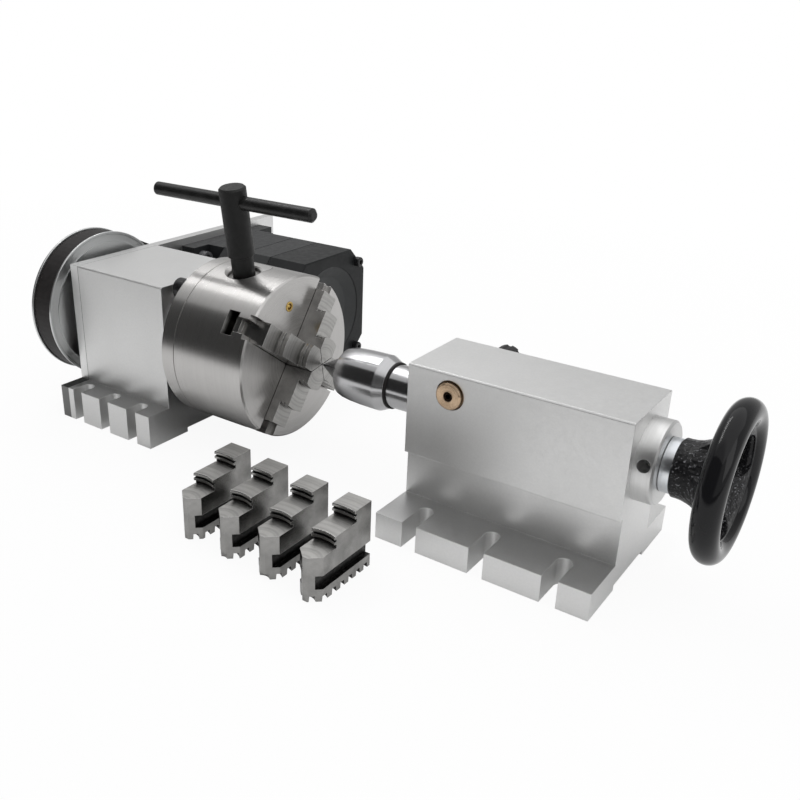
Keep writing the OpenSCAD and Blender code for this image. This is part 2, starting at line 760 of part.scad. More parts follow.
// Spiral of quarter arcs round the corners of a small square: it gains one pitch a turn.
module scroll_thread(height) {
  side = scroll_pitch / 4;
  for (i = [0:thread_quarters - 1]) {
    turn = i % 4;
    centre = side / 2 * [turn < 2 ? -1 : 1, turn == 0 || turn == 3 ? 1 : -1];
    r = thread_first_r + i * side;
    translate([centre[0], centre[1], 0]) rotate([0, 0, 90 * turn]) rotate_extrude(angle = 90)
      translate([r - thread_w / 2, 0]) square([thread_w, height]);
  }
}

module scroll() color(dark_steel) on_spindle() {
  tube(scroll_x0, scroll_x1 - gap, scroll_r, hub_r + running);
  translate([0, 0, scroll_x1 - gap - 0.1]) scroll_thread(tooth_h + 0.1);
  for (i = [0:crown_teeth - 1]) rotate([0, 0, 360 * (i + 0.5) / crown_teeth])
    translate([crown_r - gear_l / 2, 0, scroll_x0]) rotate([90, 0, 90]) linear_extrude(gear_l) polygon([
      [-1.05, 0.1], [1.05, 0.1], [0.5, -crown_depth - addendum], [-0.5, -crown_depth - addendum]
    ]);
}

module pinion_gear() linear_extrude(gear_l + 2, center = true) union() {
  circle(r = pinion_pitch_r - addendum - 0.3);
  for (i = [0:pinion_teeth - 1]) rotate([0, 0, 360 * i / pinion_teeth]) polygon([
    [pinion_pitch_r - addendum - 1, -1.05], [pinion_pitch_r, -0.77], [pinion_pitch_r + addendum, -0.45],
    [pinion_pitch_r + addendum, 0.45], [pinion_pitch_r, 0.77], [pinion_pitch_r - addendum - 1, 1.05]
  ]);
}

// A pinion along local Z, its gear over the crown wheel and its socket facing outward.
module pinion() difference() {
  union() {
    translate([0, 0, crown_r]) rotate([0, 0, 180]) pinion_gear();
    translate([0, 0, hub_r - 3]) cylinder(h = crown_r - hub_r, d = pinion_journal_d);
    translate([0, 0, crown_r]) cylinder(h = recess_r + 1 - crown_r, d = pinion_neck_d - 2);
    translate([0, 0, recess_r + 0.4]) cylinder(h = pinion_face_r - recess_r - 0.4, d = pinion_collar_d);
  }
  translate([0, 0, key_tip_r - 1]) translate([-1, -1, 0] * (key_square / 2 + square_play))
    cube([key_square + 2 * square_play, key_square + 2 * square_play, 20]);
}

module key_pinion() color(dark_steel) on_spindle() translate([0, 0, pinion_x]) rotate([0, 90, 0]) pinion();

module idle_pinion() color(dark_steel) on_spindle() rotate([0, 0, 180]) translate([0, 0, pinion_x])
  rotate([0, 90, 0]) pinion();

module key_hub() color(black) on_spindle() translate([0, 0, pinion_x]) rotate([0, 90, 0]) difference() {
  union() {
    translate([-key_square / 2, -key_square / 2, key_tip_r])
      cube([key_square, key_square, key_seat_r - key_tip_r + 1]);
    translate([0, 0, key_seat_r]) cylinder(h = key_step_r - key_seat_r, d = key_shank_d);
    translate([0, 0, key_step_r - 0.6]) cylinder(h = 0.6, d1 = key_shank_d, d2 = key_d);
    translate([0, 0, key_step_r]) cylinder(h = key_top_r - 1 - key_step_r, d = key_d);
    translate([0, 0, key_top_r - 1]) cylinder(h = 1, d1 = key_d, d2 = key_d - 2);
  }
  translate([0, 0, key_bar_r]) rotate([0, 90, 0]) cylinder(h = key_d * 2, d = key_bar_d, center = true);
}

module key_bar() color(black) on_spindle() translate([0, 0, pinion_x]) rotate([0, 90, 0])
  translate([0, 0, key_bar_r]) rotate([0, -90, 0]) translate([0, 0, key_bar_shift]) rotate_extrude() polygon([
    [0, -key_bar_l / 2], [key_bar_d / 2 - 1.5, -key_bar_l / 2], [key_bar_d / 2, -key_bar_l / 2 + 1.5],
    [key_bar_d / 2, key_bar_l / 2 - 1.5], [key_bar_d / 2 - 1.5, key_bar_l / 2], [0, key_bar_l / 2]
  ]);

// Plan of a jaw: a bar with its nose cut to a point of 90 degrees, from the axis outward.
module jaw_plan(width, length) {
  half = width / 2;
  nose = jaw_nose_r;
  polygon([
    [nose + jaw_flat, -jaw_flat], [nose + half, -half], [nose + length, -half],
    [nose + length, half], [nose + half, half], [nose + jaw_flat, jaw_flat]
  ]);
}

// The crescent teeth under a jaw: each outer face is rounder, each inner face flatter than the thread.
module jaw_teeth(offset) {
  first = thread_first_r + offset + scroll_pitch / 2 - 2 * scroll_pitch;
  for (i = [0:7]) {
    r = first + i * scroll_pitch;
    if (r > jaw_w / 2 + 1 && r < jaw_l - 1) intersection() {
      translate([r + tooth_t / 2 - tooth_outer_r, 0, 0]) cylinder(h = tooth_h + 0.1, r = tooth_outer_r);
      difference() {
        translate([r - 4, -jaw_w / 2, 0]) cube([8, jaw_w, tooth_h + 0.1]);
        translate([r - tooth_t / 2 - tooth_inner_r, 0, -1]) cylinder(h = tooth_h + 3, r = tooth_inner_r);
      }
    }
  }
}

// The part of a jaw between its teeth and its steps, with the two side grooves.
module jaw_root(offset) {
  jaw_teeth(offset);
  translate([0, 0, tooth_h]) linear_extrude(jaw_base_h - tooth_h) jaw_plan(jaw_w, jaw_l);
  translate([0, 0, jaw_base_h - 0.1]) linear_extrude(rib_h + 2 * gap + 0.2)
    jaw_plan(jaw_neck_w, jaw_l - jaw_setback);
}

// Plan of the stepped body of a jaw, which stops short of its teeth at the back.
module jaw_body_plan() jaw_plan(jaw_w, jaw_l - jaw_setback);

// A jaw that steps down outward, in the chuck.
module inside_jaw(offset) {
  jaw_root(offset);
  difference() {
    union() {
      translate([0, 0, jaw_body_z]) linear_extrude(jaw_h - 2 * jaw_step_h - jaw_body_z) jaw_body_plan();
      for (i = [0, 1]) translate([0, 0, jaw_body_z]) linear_extrude(jaw_h - i * jaw_step_h - jaw_body_z)
        intersection() {
          jaw_body_plan();
          circle(r = jaw_steps[i]);
        }
    }
    for (i = [0, 1], k = [0, 1]) translate([0, 0, jaw_h - (i + 1) * jaw_step_h + k * 3])
      tube(0, k == 0 ? 1.2 : grip_groove, jaw_steps[i] + 1, jaw_steps[i] - grip_groove);
  }
}

// A jaw that steps up outward, from the set that lies beside the chuck.
module outside_jaw(offset) {
  jaw_root(offset);
  difference() {
    union() {
      translate([0, 0, jaw_body_z]) linear_extrude(jaw_h - 2 * jaw_step_h - jaw_body_z) jaw_body_plan();
      for (i = [0, 1]) translate([0, 0, jaw_body_z]) linear_extrude(jaw_h - i * jaw_step_h - jaw_body_z)
        difference() {
          jaw_body_plan();
          circle(r = outside_steps[i]);
        }
    }
    for (i = [0, 1], k = [0, 1]) translate([0, 0, jaw_h - (i + 1) * jaw_step_h + k * 3])
      tube(0, k == 0 ? 1.2 : grip_groove, outside_steps[i] + grip_groove, outside_steps[i] - 1);
  }
}

module chuck_jaw(i) color(steel) on_spindle() rotate([0, 0, 45 + 90 * i]) translate([0, 0, jaw_base_x])
  inside_jaw(i * scroll_pitch / 4);

module spare_jaw(i) color(steel) translate([spare_x0 + i * spare_pitch, spare_y - i * spare_shift, 0])
  rotate([0, 0, 90]) translate([-jaw_nose_r - jaw_l, 0, 0]) outside_jaw(i * scroll_pitch / 4);

module tailstock_block() color(silver) difference() {
  union() {
    slotted_foot(tail_x0, tail_x1, tail_foot_w, tail_foot_t, tail_slot_pitch, tail_slot_depth);
    broken_bar(tail_x0, tail_x1, tail_w, tail_step_h, tail_h);
    translate([tail_x0, -tail_low_w / 2, relief_d]) cube([tail_l, tail_low_w, tail_step_h - relief_d + 1]);
  }
  along_x(0, axis_h) {
    disc(tail_x0 - 1, tail_x1 + 1, quill_d / 2 + running);
    disc(tail_x1 - collar_spigot, tail_x1 + 1, collar_spigot_d / 2);
  }
  on_lock() disc(-tail_w / 2 - 1, tail_w / 2 + 1, cotter_d / 2);
  translate([key_screw_x, tail_w / 2 + 1, axis_h]) rotate([90, 0, 0])
    cylinder(h = tail_w / 2, d = key_screw_d);
}

module quill_key() color(black) translate([key_screw_x, 0, axis_h]) rotate([-90, 0, 0]) difference() {
  union() {
    disc(quill_d / 2 + 1, tail_w / 2 - 0.5, key_screw_d / 2);
    disc(quill_d / 2 - keyway_d + gap, quill_d / 2 + 1.1, keyway_w / 2 - 0.2);
  }
  translate([0, 0, tail_w / 2 - 3]) cylinder(h = 4, d = 2.5, $fn = 6);
}

module end_collar() color(silver) along_x(0, axis_h) difference() {
  union() {
    disc(tail_x1, tail_x1 + collar_t - 1, collar_d / 2);
    translate([0, 0, tail_x1 + collar_t - 1]) cylinder(h = 1, d1 = collar_d, d2 = collar_d - 2);
    disc(tail_x1 - collar_spigot, tail_x1 + 0.1, collar_spigot_d / 2);
  }
  disc(tail_x1 - collar_spigot - 1, tail_x1 + collar_t + 1, screw_neck_d / 2 + running);
  disc(tail_x1 - collar_spigot - 1, thrust_x1, thrust_d / 2);
  rotate([0, 0, -105]) translate([0, 0, tail_x1 + 5]) rotate([0, 90, 0]) cylinder(h = collar_d, d = 6.4);
}

module thrust_washers() color(bronze) along_x(0, axis_h)
  tube(thrust_x1 - thrust_t, thrust_x1, thrust_d / 2, screw_neck_d / 2 + running);

module lead_screw() color(steel) along_x(0, axis_h) {
  disc(lead_x0, tail_x1 - collar_spigot + gap, lead_d / 2);
  disc(tail_x1 - collar_spigot + gap, thrust_x1 - thrust_t - gap, thrust_d / 2 - 0.5);
  disc(tail_x1 - collar_spigot + thrust_t, hub_x1 + wheel_nut_t, screw_neck_d / 2);
}

module screw_sleeve() color(zinc) along_x(0, axis_h)
  tube(tail_x1 + collar_t + gap, hub_x0, sleeve_d / 2, screw_neck_d / 2);

// A dished wheel: the hub flares along an arc into the rim, and its face is a hollow cone.
module handwheel() color(black) along_x(0, axis_h) {
  flare_angle = asin(flare_h / flare_r);
  flare_centre = [hub_left_r + flare_r, hub_x0 + hub_neck];
  difference() {
    rotate_extrude() polygon(concat(
      [[screw_neck_d / 2, hub_x0], [hub_left_r - 1, hub_x0], [hub_left_r, hub_x0 + 1]],
      [for (k = [0:8]) flare_centre + flare_r * ray(180 - k * flare_angle / 8)],
      [[rim_r, wheel_x - 2], [rim_r, wheel_x + 2], [rim_r - 5.2, wheel_x + 3.6]],
      [[hub_right_r, hub_x1], [screw_neck_d / 2, hub_x1]]
    ));
    for (k = [0:2]) rotate([0, 0, 105 + 120 * k]) translate([0, 0, hub_x0 + 1])
      linear_extrude(wheel_x - hub_x0 + wheel_rim_d) wheel_window();
  }
  translate([0, 0, wheel_x]) rotate_extrude() translate([rim_r, 0]) circle(r = rim_tube_r);
}

// A curved window with round ends, between the hub and the rim.
module wheel_window() {
  middle = (window_r0 + window_r1) / 2;
  end_r = window_r1 - middle;
  half = window_half_angle;
  polygon(concat(
    [for (k = [-4:4]) window_r1 * ray(half * k / 4)],
    [for (k = [1:7]) middle * ray(half) + end_r * ray(half + 22.5 * k)],
    [for (k = [-4:4]) window_r0 * ray(-half * k / 4)],
    [for (k = [1:7]) middle * ray(-half) + end_r * ray(180 - half + 22.5 * k)]
  ));
}

module wheel_nut() color(zinc) along_x(0, axis_h) difference() {
  disc(hub_x1, hub_x1 + wheel_nut_t, wheel_nut_r);
  disc(hub_x1 - 1, hub_x1 + wheel_nut_t + 1, screw_neck_d / 2);
  at_angles(four(0)) translate([wheel_nut_r - 2, -1.5, hub_x1 - 1]) cube([3, 3, wheel_nut_t + 2]);
}

// The axis of the quill lock, across the tailstock: local Z points to the front.
module on_lock() translate([cotter_x, 0, cotter_z]) rotate([90, 0, 0]) children();

module lock_cotters() color(bronze) difference() {
  on_lock() {
    disc(cotter_gap / 2, tail_w / 2 + 2.5, cotter_d / 2);
    disc(-tail_w / 2 - 1, -cotter_gap / 2, cotter_d / 2);
  }
  along_x(0, axis_h) disc(tail_x0, tail_x1, quill_d / 2 + running);
  on_lock() disc(-tail_w, tail_w, stud_d / 2 + running);
}

module lock_stud() color(dark_steel) on_lock() difference() {
  disc(-tail_w / 2 - knob_l + 2, tail_w / 2 + 2, stud_d / 2);
  translate([0, 0, tail_w / 2 - 3]) cylinder(h = 10, d = 3, $fn = 6);
}

module lock_knob() color(black) on_lock() translate([0, 0, -tail_w / 2 - 1 - gap]) mirror([0, 0, 1])
  difference() {
    union() {
      cylinder(h = 3, d = cotter_d);
      translate([0, 0, 3]) cylinder(h = knob_l - 3, d = knob_d);
    }
    translate([0, 0, -1]) cylinder(h = knob_l - 2, d = stud_d);
    at_angles([0:45:315]) translate([knob_d / 2 + 1, 0, 3]) cylinder(h = knob_l, d = knob_groove_d);
  }

module quill() color(steel) along_x(0, axis_h) difference() {
  disc(quill_x0, quill_x1, quill_d / 2);
  disc(quill_x0 - 1, quill_x1 + 1, lead_d / 2 + 0.5);
  disc(quill_x0 - 1, quill_x0 + shank_l, shank_d / 2);
  disc(quill_x1 - nut_l, quill_x1 + 1, nut_od / 2);
  translate([-keyway_w / 2, quill_d / 2 - keyway_d, tail_x0 + 14])
    cube([keyway_w, 10, quill_x1 - tail_x0 - 14 - nut_l - 4]);
}

module quill_nut() color(bronze) along_x(0, axis_h)
  tube(quill_x1 - nut_l, quill_x1, nut_od / 2, lead_d / 2 + running);

module centre_shank() color(steel) along_x(0, axis_h) {
  disc(centre_x0 + 4, quill_x0 - seal_t - gap, journal_d / 2);
  disc(quill_x0 - seal_t - gap, quill_x0, shank_d / 2 - 1.5);
  disc(quill_x0, quill_x0 + shank_l, shank_d / 2);
}

module centre_bearings(part) for (x = centre_race_x)
  ball_bearing(x, journal_d, centre_bore_d, centre_race_w, part, centre_balls);

module centre_bearing_inners() color(steel) along_x(0, axis_h) {
  centre_bearings("inner");
  centre_bearings("balls");
  tube(centre_race_x[1] + centre_race_w, centre_race_x[0], journal_d / 2 + 2, journal_d / 2);
}

module centre_bearing_outers() color(steel) along_x(0, axis_h) centre_bearings("outer");

module centre_head() color(zinc) along_x(0, axis_h) difference() {
  rotate_extrude() polygon([
    [0, tip_x], [point_base_r, centre_x0], [centre_d / 2 - 2, centre_x0], [centre_d / 2, centre_x0 + 2],
    [centre_d / 2, centre_x1 - 3], [centre_d / 2 - 2.5, centre_x1], [0, centre_x1]
  ]);
  disc(centre_race_x[1] - 4, centre_x1 + 1, centre_bore_d / 2);
}

module centre_seal() color(black) along_x(0, axis_h)
  tube(centre_x1 - 1.8, centre_x1 + seal_t - 0.2, centre_bore_d / 2, shank_d / 2 + 0.2);

headstock_block();
motor_plate();
plate_screws();
spindle_bearings("outer");  // spindle_bearing_outers
spindle_bearings("balls");  // spindle_bearing_balls
bearing_cover();
cover_screws();
motor_flange();
motor_stator();
motor_rear_cap();
motor_tie_screws();
motor_mount_screws();
motor_bearings();
timing_belt();
spare_jaw(0);  // spare_jaw_1
spare_jaw(1);  // spare_jaw_2
spare_jaw(2);  // spare_jaw_3
spare_jaw(3);  // spare_jaw_4
motor_shaft();
motor_core();
motor_pulley();
spindle_shaft();
spindle_bearings("inner");  // spindle_bearing_inners
large_pulley();
pulley_flanges();
spindle_nut();
chuck_backplate();
backplate_screws();
chuck_body();
chuck_bolts();
scroll_cover();
face_oiler();
scroll();
key_pinion();
idle_pinion();
key_hub();
key_bar();
chuck_jaw(0);  // jaw_1
chuck_jaw(1);  // jaw_2
chuck_jaw(2);  // jaw_3
chuck_jaw(3);  // jaw_4
tailstock_block();
end_collar();
thrust_washers();
lock_cotters();
lock_stud();
lock_knob();
quill_key();
quill();
quill_nut();
centre_shank();
centre_bearing_inners();
centre_head();
centre_bearing_outers();
centre_seal();
lead_screw();
screw_sleeve();
handwheel();
wheel_nut();
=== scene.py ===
# A belt driven rotary axis for a milling machine: headstock with motor and four-jaw chuck, tailstock
# with live centre and handwheel, and the spare jaws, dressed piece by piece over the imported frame.
import math
import bpy
import bmesh
from mathutils import Matrix, Vector


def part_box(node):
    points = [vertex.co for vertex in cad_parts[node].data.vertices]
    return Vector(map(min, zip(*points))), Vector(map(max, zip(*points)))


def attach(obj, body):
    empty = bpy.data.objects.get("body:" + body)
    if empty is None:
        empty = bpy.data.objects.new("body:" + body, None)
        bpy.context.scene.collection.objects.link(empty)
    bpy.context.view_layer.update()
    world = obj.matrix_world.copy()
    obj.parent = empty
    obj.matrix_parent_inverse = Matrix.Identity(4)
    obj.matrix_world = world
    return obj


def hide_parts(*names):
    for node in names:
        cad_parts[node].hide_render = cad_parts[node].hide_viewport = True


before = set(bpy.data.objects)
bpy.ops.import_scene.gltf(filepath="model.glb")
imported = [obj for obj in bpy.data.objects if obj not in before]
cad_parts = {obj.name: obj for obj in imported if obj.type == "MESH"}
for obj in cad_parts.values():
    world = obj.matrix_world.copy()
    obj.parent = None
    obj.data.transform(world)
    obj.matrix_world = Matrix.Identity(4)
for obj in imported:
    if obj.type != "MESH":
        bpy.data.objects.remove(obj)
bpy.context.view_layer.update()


# Headstock block. Sawn from solid aluminium and face milled, then blasted with fine beads and
# anodised clear, so every face is pale and even, with a grain that shows only close by. The open
# slots in its foot take the bolts that hold it on the machine table.
whole = (0.0, 1.0)  # span of a number that already goes from nought to one


def finish(name, colour, roughness, metallic=1.0):
    """A new finish with its shader, ready for grain, marks and bump."""
    material = bpy.data.materials.new(name)
    material.use_nodes = True
    shader = material.node_tree.nodes["Principled BSDF"]
    shader.inputs["Base Color"].default_value = (*colour, 1)
    shader.inputs["Roughness"].default_value = roughness
    shader.inputs["Metallic"].default_value = metallic
    return material


def add(material, kind, **settings):
    """Adds a node and sets its plain settings."""
    node = material.node_tree.nodes.new(kind)
    for key, value in settings.items():
        setattr(node, key, value)
    return node


def join(material, source, target):
    material.node_tree.links.new(source, target)


def split(material, vector):
    """The parts of a vector, by axis."""
    node = add(material, "ShaderNodeSeparateXYZ")
    join(material, vector, node.inputs[0])
    return node.outputs


def reckon(material, operation, first, second):
    """One number worked out from two others."""
    node = add(material, "ShaderNodeMath", operation=operation)
    join(material, first, node.inputs[0])
    join(material, second, node.inputs[1])
    return node.outputs[0]


def own_place(material):
    return add(material, "ShaderNodeTexCoord").outputs["Object"]


def shader_of(material):
    return material.node_tree.nodes["Principled BSDF"]


def feed_of(material, socket):
    """What reaches a socket of the shader now: the linked output, or None where it is a plain value."""
    links = shader_of(material).inputs[socket].links
    return links[0].from_socket if links else None


def speckle(material, size, stretch=(1, 1, 1), detail=4.0, source=None):
    """Noise with grains of the given size in metres, longer along the axes that are stretched."""
    noise = add(material, "ShaderNodeTexNoise")
    noise.inputs["Scale"].default_value = 1 / size
    noise.inputs["Detail"].default_value = detail
    squeeze = add(material, "ShaderNodeVectorMath", operation="MULTIPLY")
    squeeze.inputs[1].default_value = [1 / s for s in stretch]
    if source is None:
        source = own_place(material)
    join(material, source, squeeze.inputs[0])
    join(material, squeeze.outputs[0], noise.inputs["Vector"])
    return noise.outputs["Fac"]


def between(material, fac, low, high, span=(0.3, 0.7)):
    """A number that goes from low to high while the noise goes over the span."""
    ramp = add(material, "ShaderNodeMapRange")
    ramp.inputs["From Min"].default_value, ramp.inputs["From Max"].default_value = span
    ramp.inputs["To Min"].default_value, ramp.inputs["To Max"].default_value = low, high
    join(material, fac, ramp.inputs["Value"])
    return ramp.outputs["Result"]


def vary(material, fac, socket, low, high, span=(0.3, 0.7)):
    """Moves a shader value between low and high with the noise."""
    join(material, between(material, fac, low, high, span), shader_of(material).inputs[socket])


def tint(material, fac, dark, pale, span=(0.3, 0.7)):
    """Moves the base colour between two tones with the noise."""
    ramp = add(material, "ShaderNodeValToRGB")
    ramp.color_ramp.elements[0].position, ramp.color_ramp.elements[1].position = span
    ramp.color_ramp.elements[0].color = (*dark, 1)
    ramp.color_ramp.elements[1].color = (*pale, 1)
    join(material, fac, ramp.inputs["Fac"])
    join(material, ramp.outputs["Color"], shader_of(material).inputs["Base Color"])


def blotch(material, fac, share, tone, span=(0.3, 0.7)):
    """Lays a second tone over the base colour where the noise is high."""
    mix = add(material, "ShaderNodeMix", data_type="RGBA")
    join(material, between(material, fac, 0.0, share, span), mix.inputs[0])
    below = feed_of(material, "Base Color")
    if below is None:
        mix.inputs[6].default_value = shader_of(material).inputs["Base Color"].default_value
    else:
        join(material, below, mix.inputs[6])
    mix.inputs[7].default_value = (*tone, 1)
    join(material, mix.outputs[2], shader_of(material).inputs["Base Color"])


def emboss(material, fac, height, strength=1.0):
    """Bump from the noise. A second call goes on top of the first."""
    bump = add(material, "ShaderNodeBump")
    bump.inputs["Distance"].default_value = height
    bump.inputs["Strength"].default_value = strength
    join(material, fac, bump.inputs["Height"])
    below = feed_of(material, "Normal")
    if below is not None:
        join(material, below, bump.inputs["Normal"])
    join(material, bump.outputs["Normal"], shader_of(material).inputs["Normal"])


def break_edges(material, radius):
    """The small rounding that deburring leaves on every edge, which catches a line of light."""
    rounding = add(material, "ShaderNodeBevel", samples=6)
    rounding.inputs["Radius"].default_value = radius
    join(material, rounding.outputs["Normal"], shader_of(material).inputs["Normal"])


def rub_edges(material, bare, radius, share):
    """Edges rubbed to a paler tone, more in some places than in others."""
    patch = 0.002
    rounding = add(material, "ShaderNodeBevel", samples=6)
    rounding.inputs["Radius"].default_value = radius
    surface = add(material, "ShaderNodeNewGeometry")
    turn = add(material, "ShaderNodeVectorMath", operation="DOT_PRODUCT")
    join(material, rounding.outputs["Normal"], turn.inputs[0])
    join(material, surface.outputs["Normal"], turn.inputs[1])
    edge = between(material, turn.outputs["Value"], share, 0.0, (0.82, 0.97))
    patches = between(material, speckle(material, patch), 0.3, 1.0, (0.35, 0.6))
    blotch(material, reckon(material, "MULTIPLY", edge, patches), 1.0, bare, whole)


def shade(colour, factor):
    return tuple(channel * factor for channel in colour)


def dress(material, *nodes):
    """Gives solids of the frame a finish."""
    for name in nodes:
        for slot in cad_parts[name].material_slots:
            slot.link = "OBJECT"
            slot.material = material


def anodised(name, colour, roughness=0.40):
    """Blasted and anodised aluminium: soft clouds, a fine grain and broken edges."""
    material = finish(name, colour, roughness)
    tint(material, speckle(material, 0.030, (1, 1, 2), 3), shade(colour, 0.96), colour)
    blotch(material, speckle(material, 0.0011, detail=3), 0.35, shade(colour, 0.88))
    vary(material, speckle(material, 0.0016), "Roughness", roughness - 0.03, roughness + 0.05)
    break_edges(material, 0.0005)
    emboss(material, speckle(material, 0.0004, detail=2), 0.000012, 0.35)
    return material


block_aluminium = (0.76, 0.76, 0.755)
satin_block = anodised("satin_block", block_aluminium)
block_left_x, seam_dark = -0.0355, (0.05, 0.05, 0.05)
seam = between(satin_block, split(satin_block, own_place(satin_block))["X"], 1.0, 0.0,
               (block_left_x + 0.0003, block_left_x + 0.0005))
blotch(satin_block, seam, 0.8, seam_dark, whole)
dress(satin_block, "headstock_block")


# Spindle. A hollow turned steel shaft in two ball bearings, with a ring nut behind the pulley. The
# bearings sit in the block under a screwed cover and can't be seen once the chuck is on.
spindle_height = 0.065


def ring_place(material, along="X", centre=(0.0, 0.0, spindle_height)):
    """Place along a turned piece and distance from its axis, so that noise on it runs round in rings.
    Also gives the direction in which the tool went round."""
    place = split(material, own_place(material))
    across = add(material, "ShaderNodeCombineXYZ")
    for axis, middle_of_axis in zip("XYZ", centre):
        if axis != along:
            offset = add(material, "ShaderNodeMath", operation="SUBTRACT")
            offset.inputs[1].default_value = middle_of_axis
            join(material, place[axis], offset.inputs[0])
            join(material, offset.outputs[0], across.inputs[axis])
    radius = add(material, "ShaderNodeVectorMath", operation="LENGTH")
    join(material, across.outputs[0], radius.inputs[0])
    rings = add(material, "ShaderNodeCombineXYZ")
    join(material, place[along], rings.inputs["X"])
    join(material, radius.outputs["Value"], rings.inputs["Y"])
    around = add(material, "ShaderNodeVectorMath", operation="CROSS_PRODUCT")
    around.inputs[0].default_value = [float(axis == along) for axis in "XYZ"]
    join(material, across.outputs[0], around.inputs[1])
    return rings.outputs[0], around.outputs[0]


def axis_and_radius(material, *where):
    """Place along the axis of a turned piece and distance from it, as two numbers."""
    rings = split(material, ring_place(material, *where)[0])
    return rings["X"], rings["Y"]


def turned(name, colour, roughness, brushed=0.8, line=0.00035, edge=0.0003, along="X",
           centre=(0.0, 0.0, spindle_height)):
    """Lathe turned metal. The fine rings of the tool spread each highlight across them."""
    material = finish(name, colour, roughness)
    rings, around = ring_place(material, along, centre)
    tint(material, speckle(material, line * 6, source=rings), shade(colour, 0.95), colour)
    blotch(material, speckle(material, line, source=rings), 0.3, shade(colour, 0.8))
    vary(material, speckle(material, line, source=rings), "Roughness", roughness - 0.03, roughness + 0.04)
    break_edges(material, edge)
    emboss(material, speckle(material, line, source=rings), 0.000003, 0.4)
    shader_of(material).inputs["Anisotropic"].default_value = brushed
    shader_of(material).inputs["Anisotropic Rotation"].default_value = 0.25
    join(material, around, shader_of(material).inputs["Tangent"])
    return material


shaft_steel = (0.58, 0.575, 0.57)
ground_steel = turned("ground_steel", shaft_steel, 0.22, 0.5)
dress(ground_steel, "spindle_shaft", "spindle_bearing_outers", "spindle_bearing_balls",
      "spindle_bearing_inners")
hard_steel = turned("hard_steel", (0.22, 0.215, 0.21), 0.3, 0.4)
dress(hard_steel, "spindle_nut")
dress(satin_block, "bearing_cover")

oxide_colour, rubbed_steel = (0.010, 0.010, 0.011), (0.15, 0.144, 0.138)


def blacked(name, colour, roughness):
    """Blacked steel: nearly matt, with a fine tooth, paler rubbed spots and bright worn edges."""
    material = finish(name, colour, roughness, 0.0)
    shader_of(material).inputs["Specular IOR Level"].default_value = 0.35
    tint(material, speckle(material, 0.004, detail=6), colour, shade(colour, 2.0), (0.45, 0.8))
    vary(material, speckle(material, 0.002), "Roughness", roughness - 0.06, roughness + 0.12)
    break_edges(material, 0.0004)
    rub_edges(material, rubbed_steel, 0.0004, 0.5)
    emboss(material, speckle(material, 0.0005), 0.00002, 0.4)
    return material


worn_steel = blacked("worn_steel", (0.10, 0.10, 0.105), 0.25)
screw_black = blacked("screw_black", oxide_colour, 0.30)
dress(screw_black, "cover_screws")


# Motor plate. Aluminium plate of seven millimetres, sawn and milled, held on the left end of the
# block by countersunk screws. It reaches back behind the block and carries motor and drive.
plate_aluminium = (0.80, 0.80, 0.795)
satin_plate = anodised("satin_plate", plate_aluminium, 0.36)
dress(satin_plate, "motor_plate")
dress(screw_black, "plate_screws")


# Motor. A square stepper motor. Flange and rear cap are die cast and enamelled satin black, with a
# stack of lacquered laminations between them, held by long screws through the four corners.
motor_black = (0.014, 0.015, 0.016)


def cast_enamel(name, colour, roughness, pit=0.0009):
    """Enamel on a casting: it keeps a little of the roughness of the sand or die below."""
    material = finish(name, colour, roughness, 0.0)
    shader_of(material).inputs["Specular IOR Level"].default_value = 0.38
    tint(material, speckle(material, 0.02), shade(colour, 0.85), shade(colour, 1.15))
    vary(material, speckle(material, 0.003), "Roughness", roughness - 0.04, roughness + 0.08)
    break_edges(material, 0.0006)
    rub_edges(material, (0.10, 0.10, 0.10), 0.0005, 0.4)
    emboss(material, speckle(material, pit), 0.00003, 0.5)
    return material


motor_enamel = cast_enamel("motor_enamel", motor_black, 0.40)
dress(motor_enamel, "motor_flange")
lamination = cast_enamel("lamination", shade(motor_black, 1.2), 0.46)
emboss(lamination, speckle(lamination, 0.0005, (1, 60, 60), 1), 0.00003, 0.5)
dress(lamination, "motor_core")
dress(worn_steel, "motor_mount_screws")
dress(ground_steel, "motor_shaft", "motor_bearings")


def solid(name, corners, faces):
    """A closed solid from corner places in metres, with all its faces turned outward."""
    mesh = bpy.data.meshes.new(name)
    mesh.from_pydata(corners, [], faces)
    tidy = bmesh.new()
    tidy.from_mesh(mesh)
    bmesh.ops.recalc_face_normals(tidy, faces=tidy.faces)
    tidy.to_mesh(mesh)
    tidy.free()
    piece = bpy.data.objects.new(name, mesh)
    bpy.context.collection.objects.link(piece)
    return piece


def prism(name, outline, low, high, place):
    """A solid with the given outline between two levels. place turns (u, v, level) into x, y and z."""
    count = len(outline)
    corners = [Vector(place(u, v, level)) / 1000 for level in (low, high) for u, v in outline]
    faces = [list(range(count)), list(range(2 * count - 1, count - 1, -1))]
    faces += [[k, (k + 1) % count, count + (k + 1) % count, count + k] for k in range(count)]
    return solid(name, corners, faces)


def combine(piece, other, how):
    """Cuts a solid with another, or keeps what both have in common, and drops the other."""
    cut = piece.modifiers.new("cut", "BOOLEAN")
    cut.operation, cut.solver, cut.object = how, "EXACT", other
    shape = bpy.data.meshes.new_from_object(piece.evaluated_get(bpy.context.evaluated_depsgraph_get()))
    piece.modifiers.clear()
    piece.data = shape
    bpy.data.objects.remove(other)


def smooth_faces(piece, angle=30):
    """Smooth shading that stops at every edge sharper than the angle."""
    piece.data.polygons.foreach_set("use_smooth", [True] * len(piece.data.polygons))
    piece.data.set_sharp_from_angle(angle=math.radians(angle))


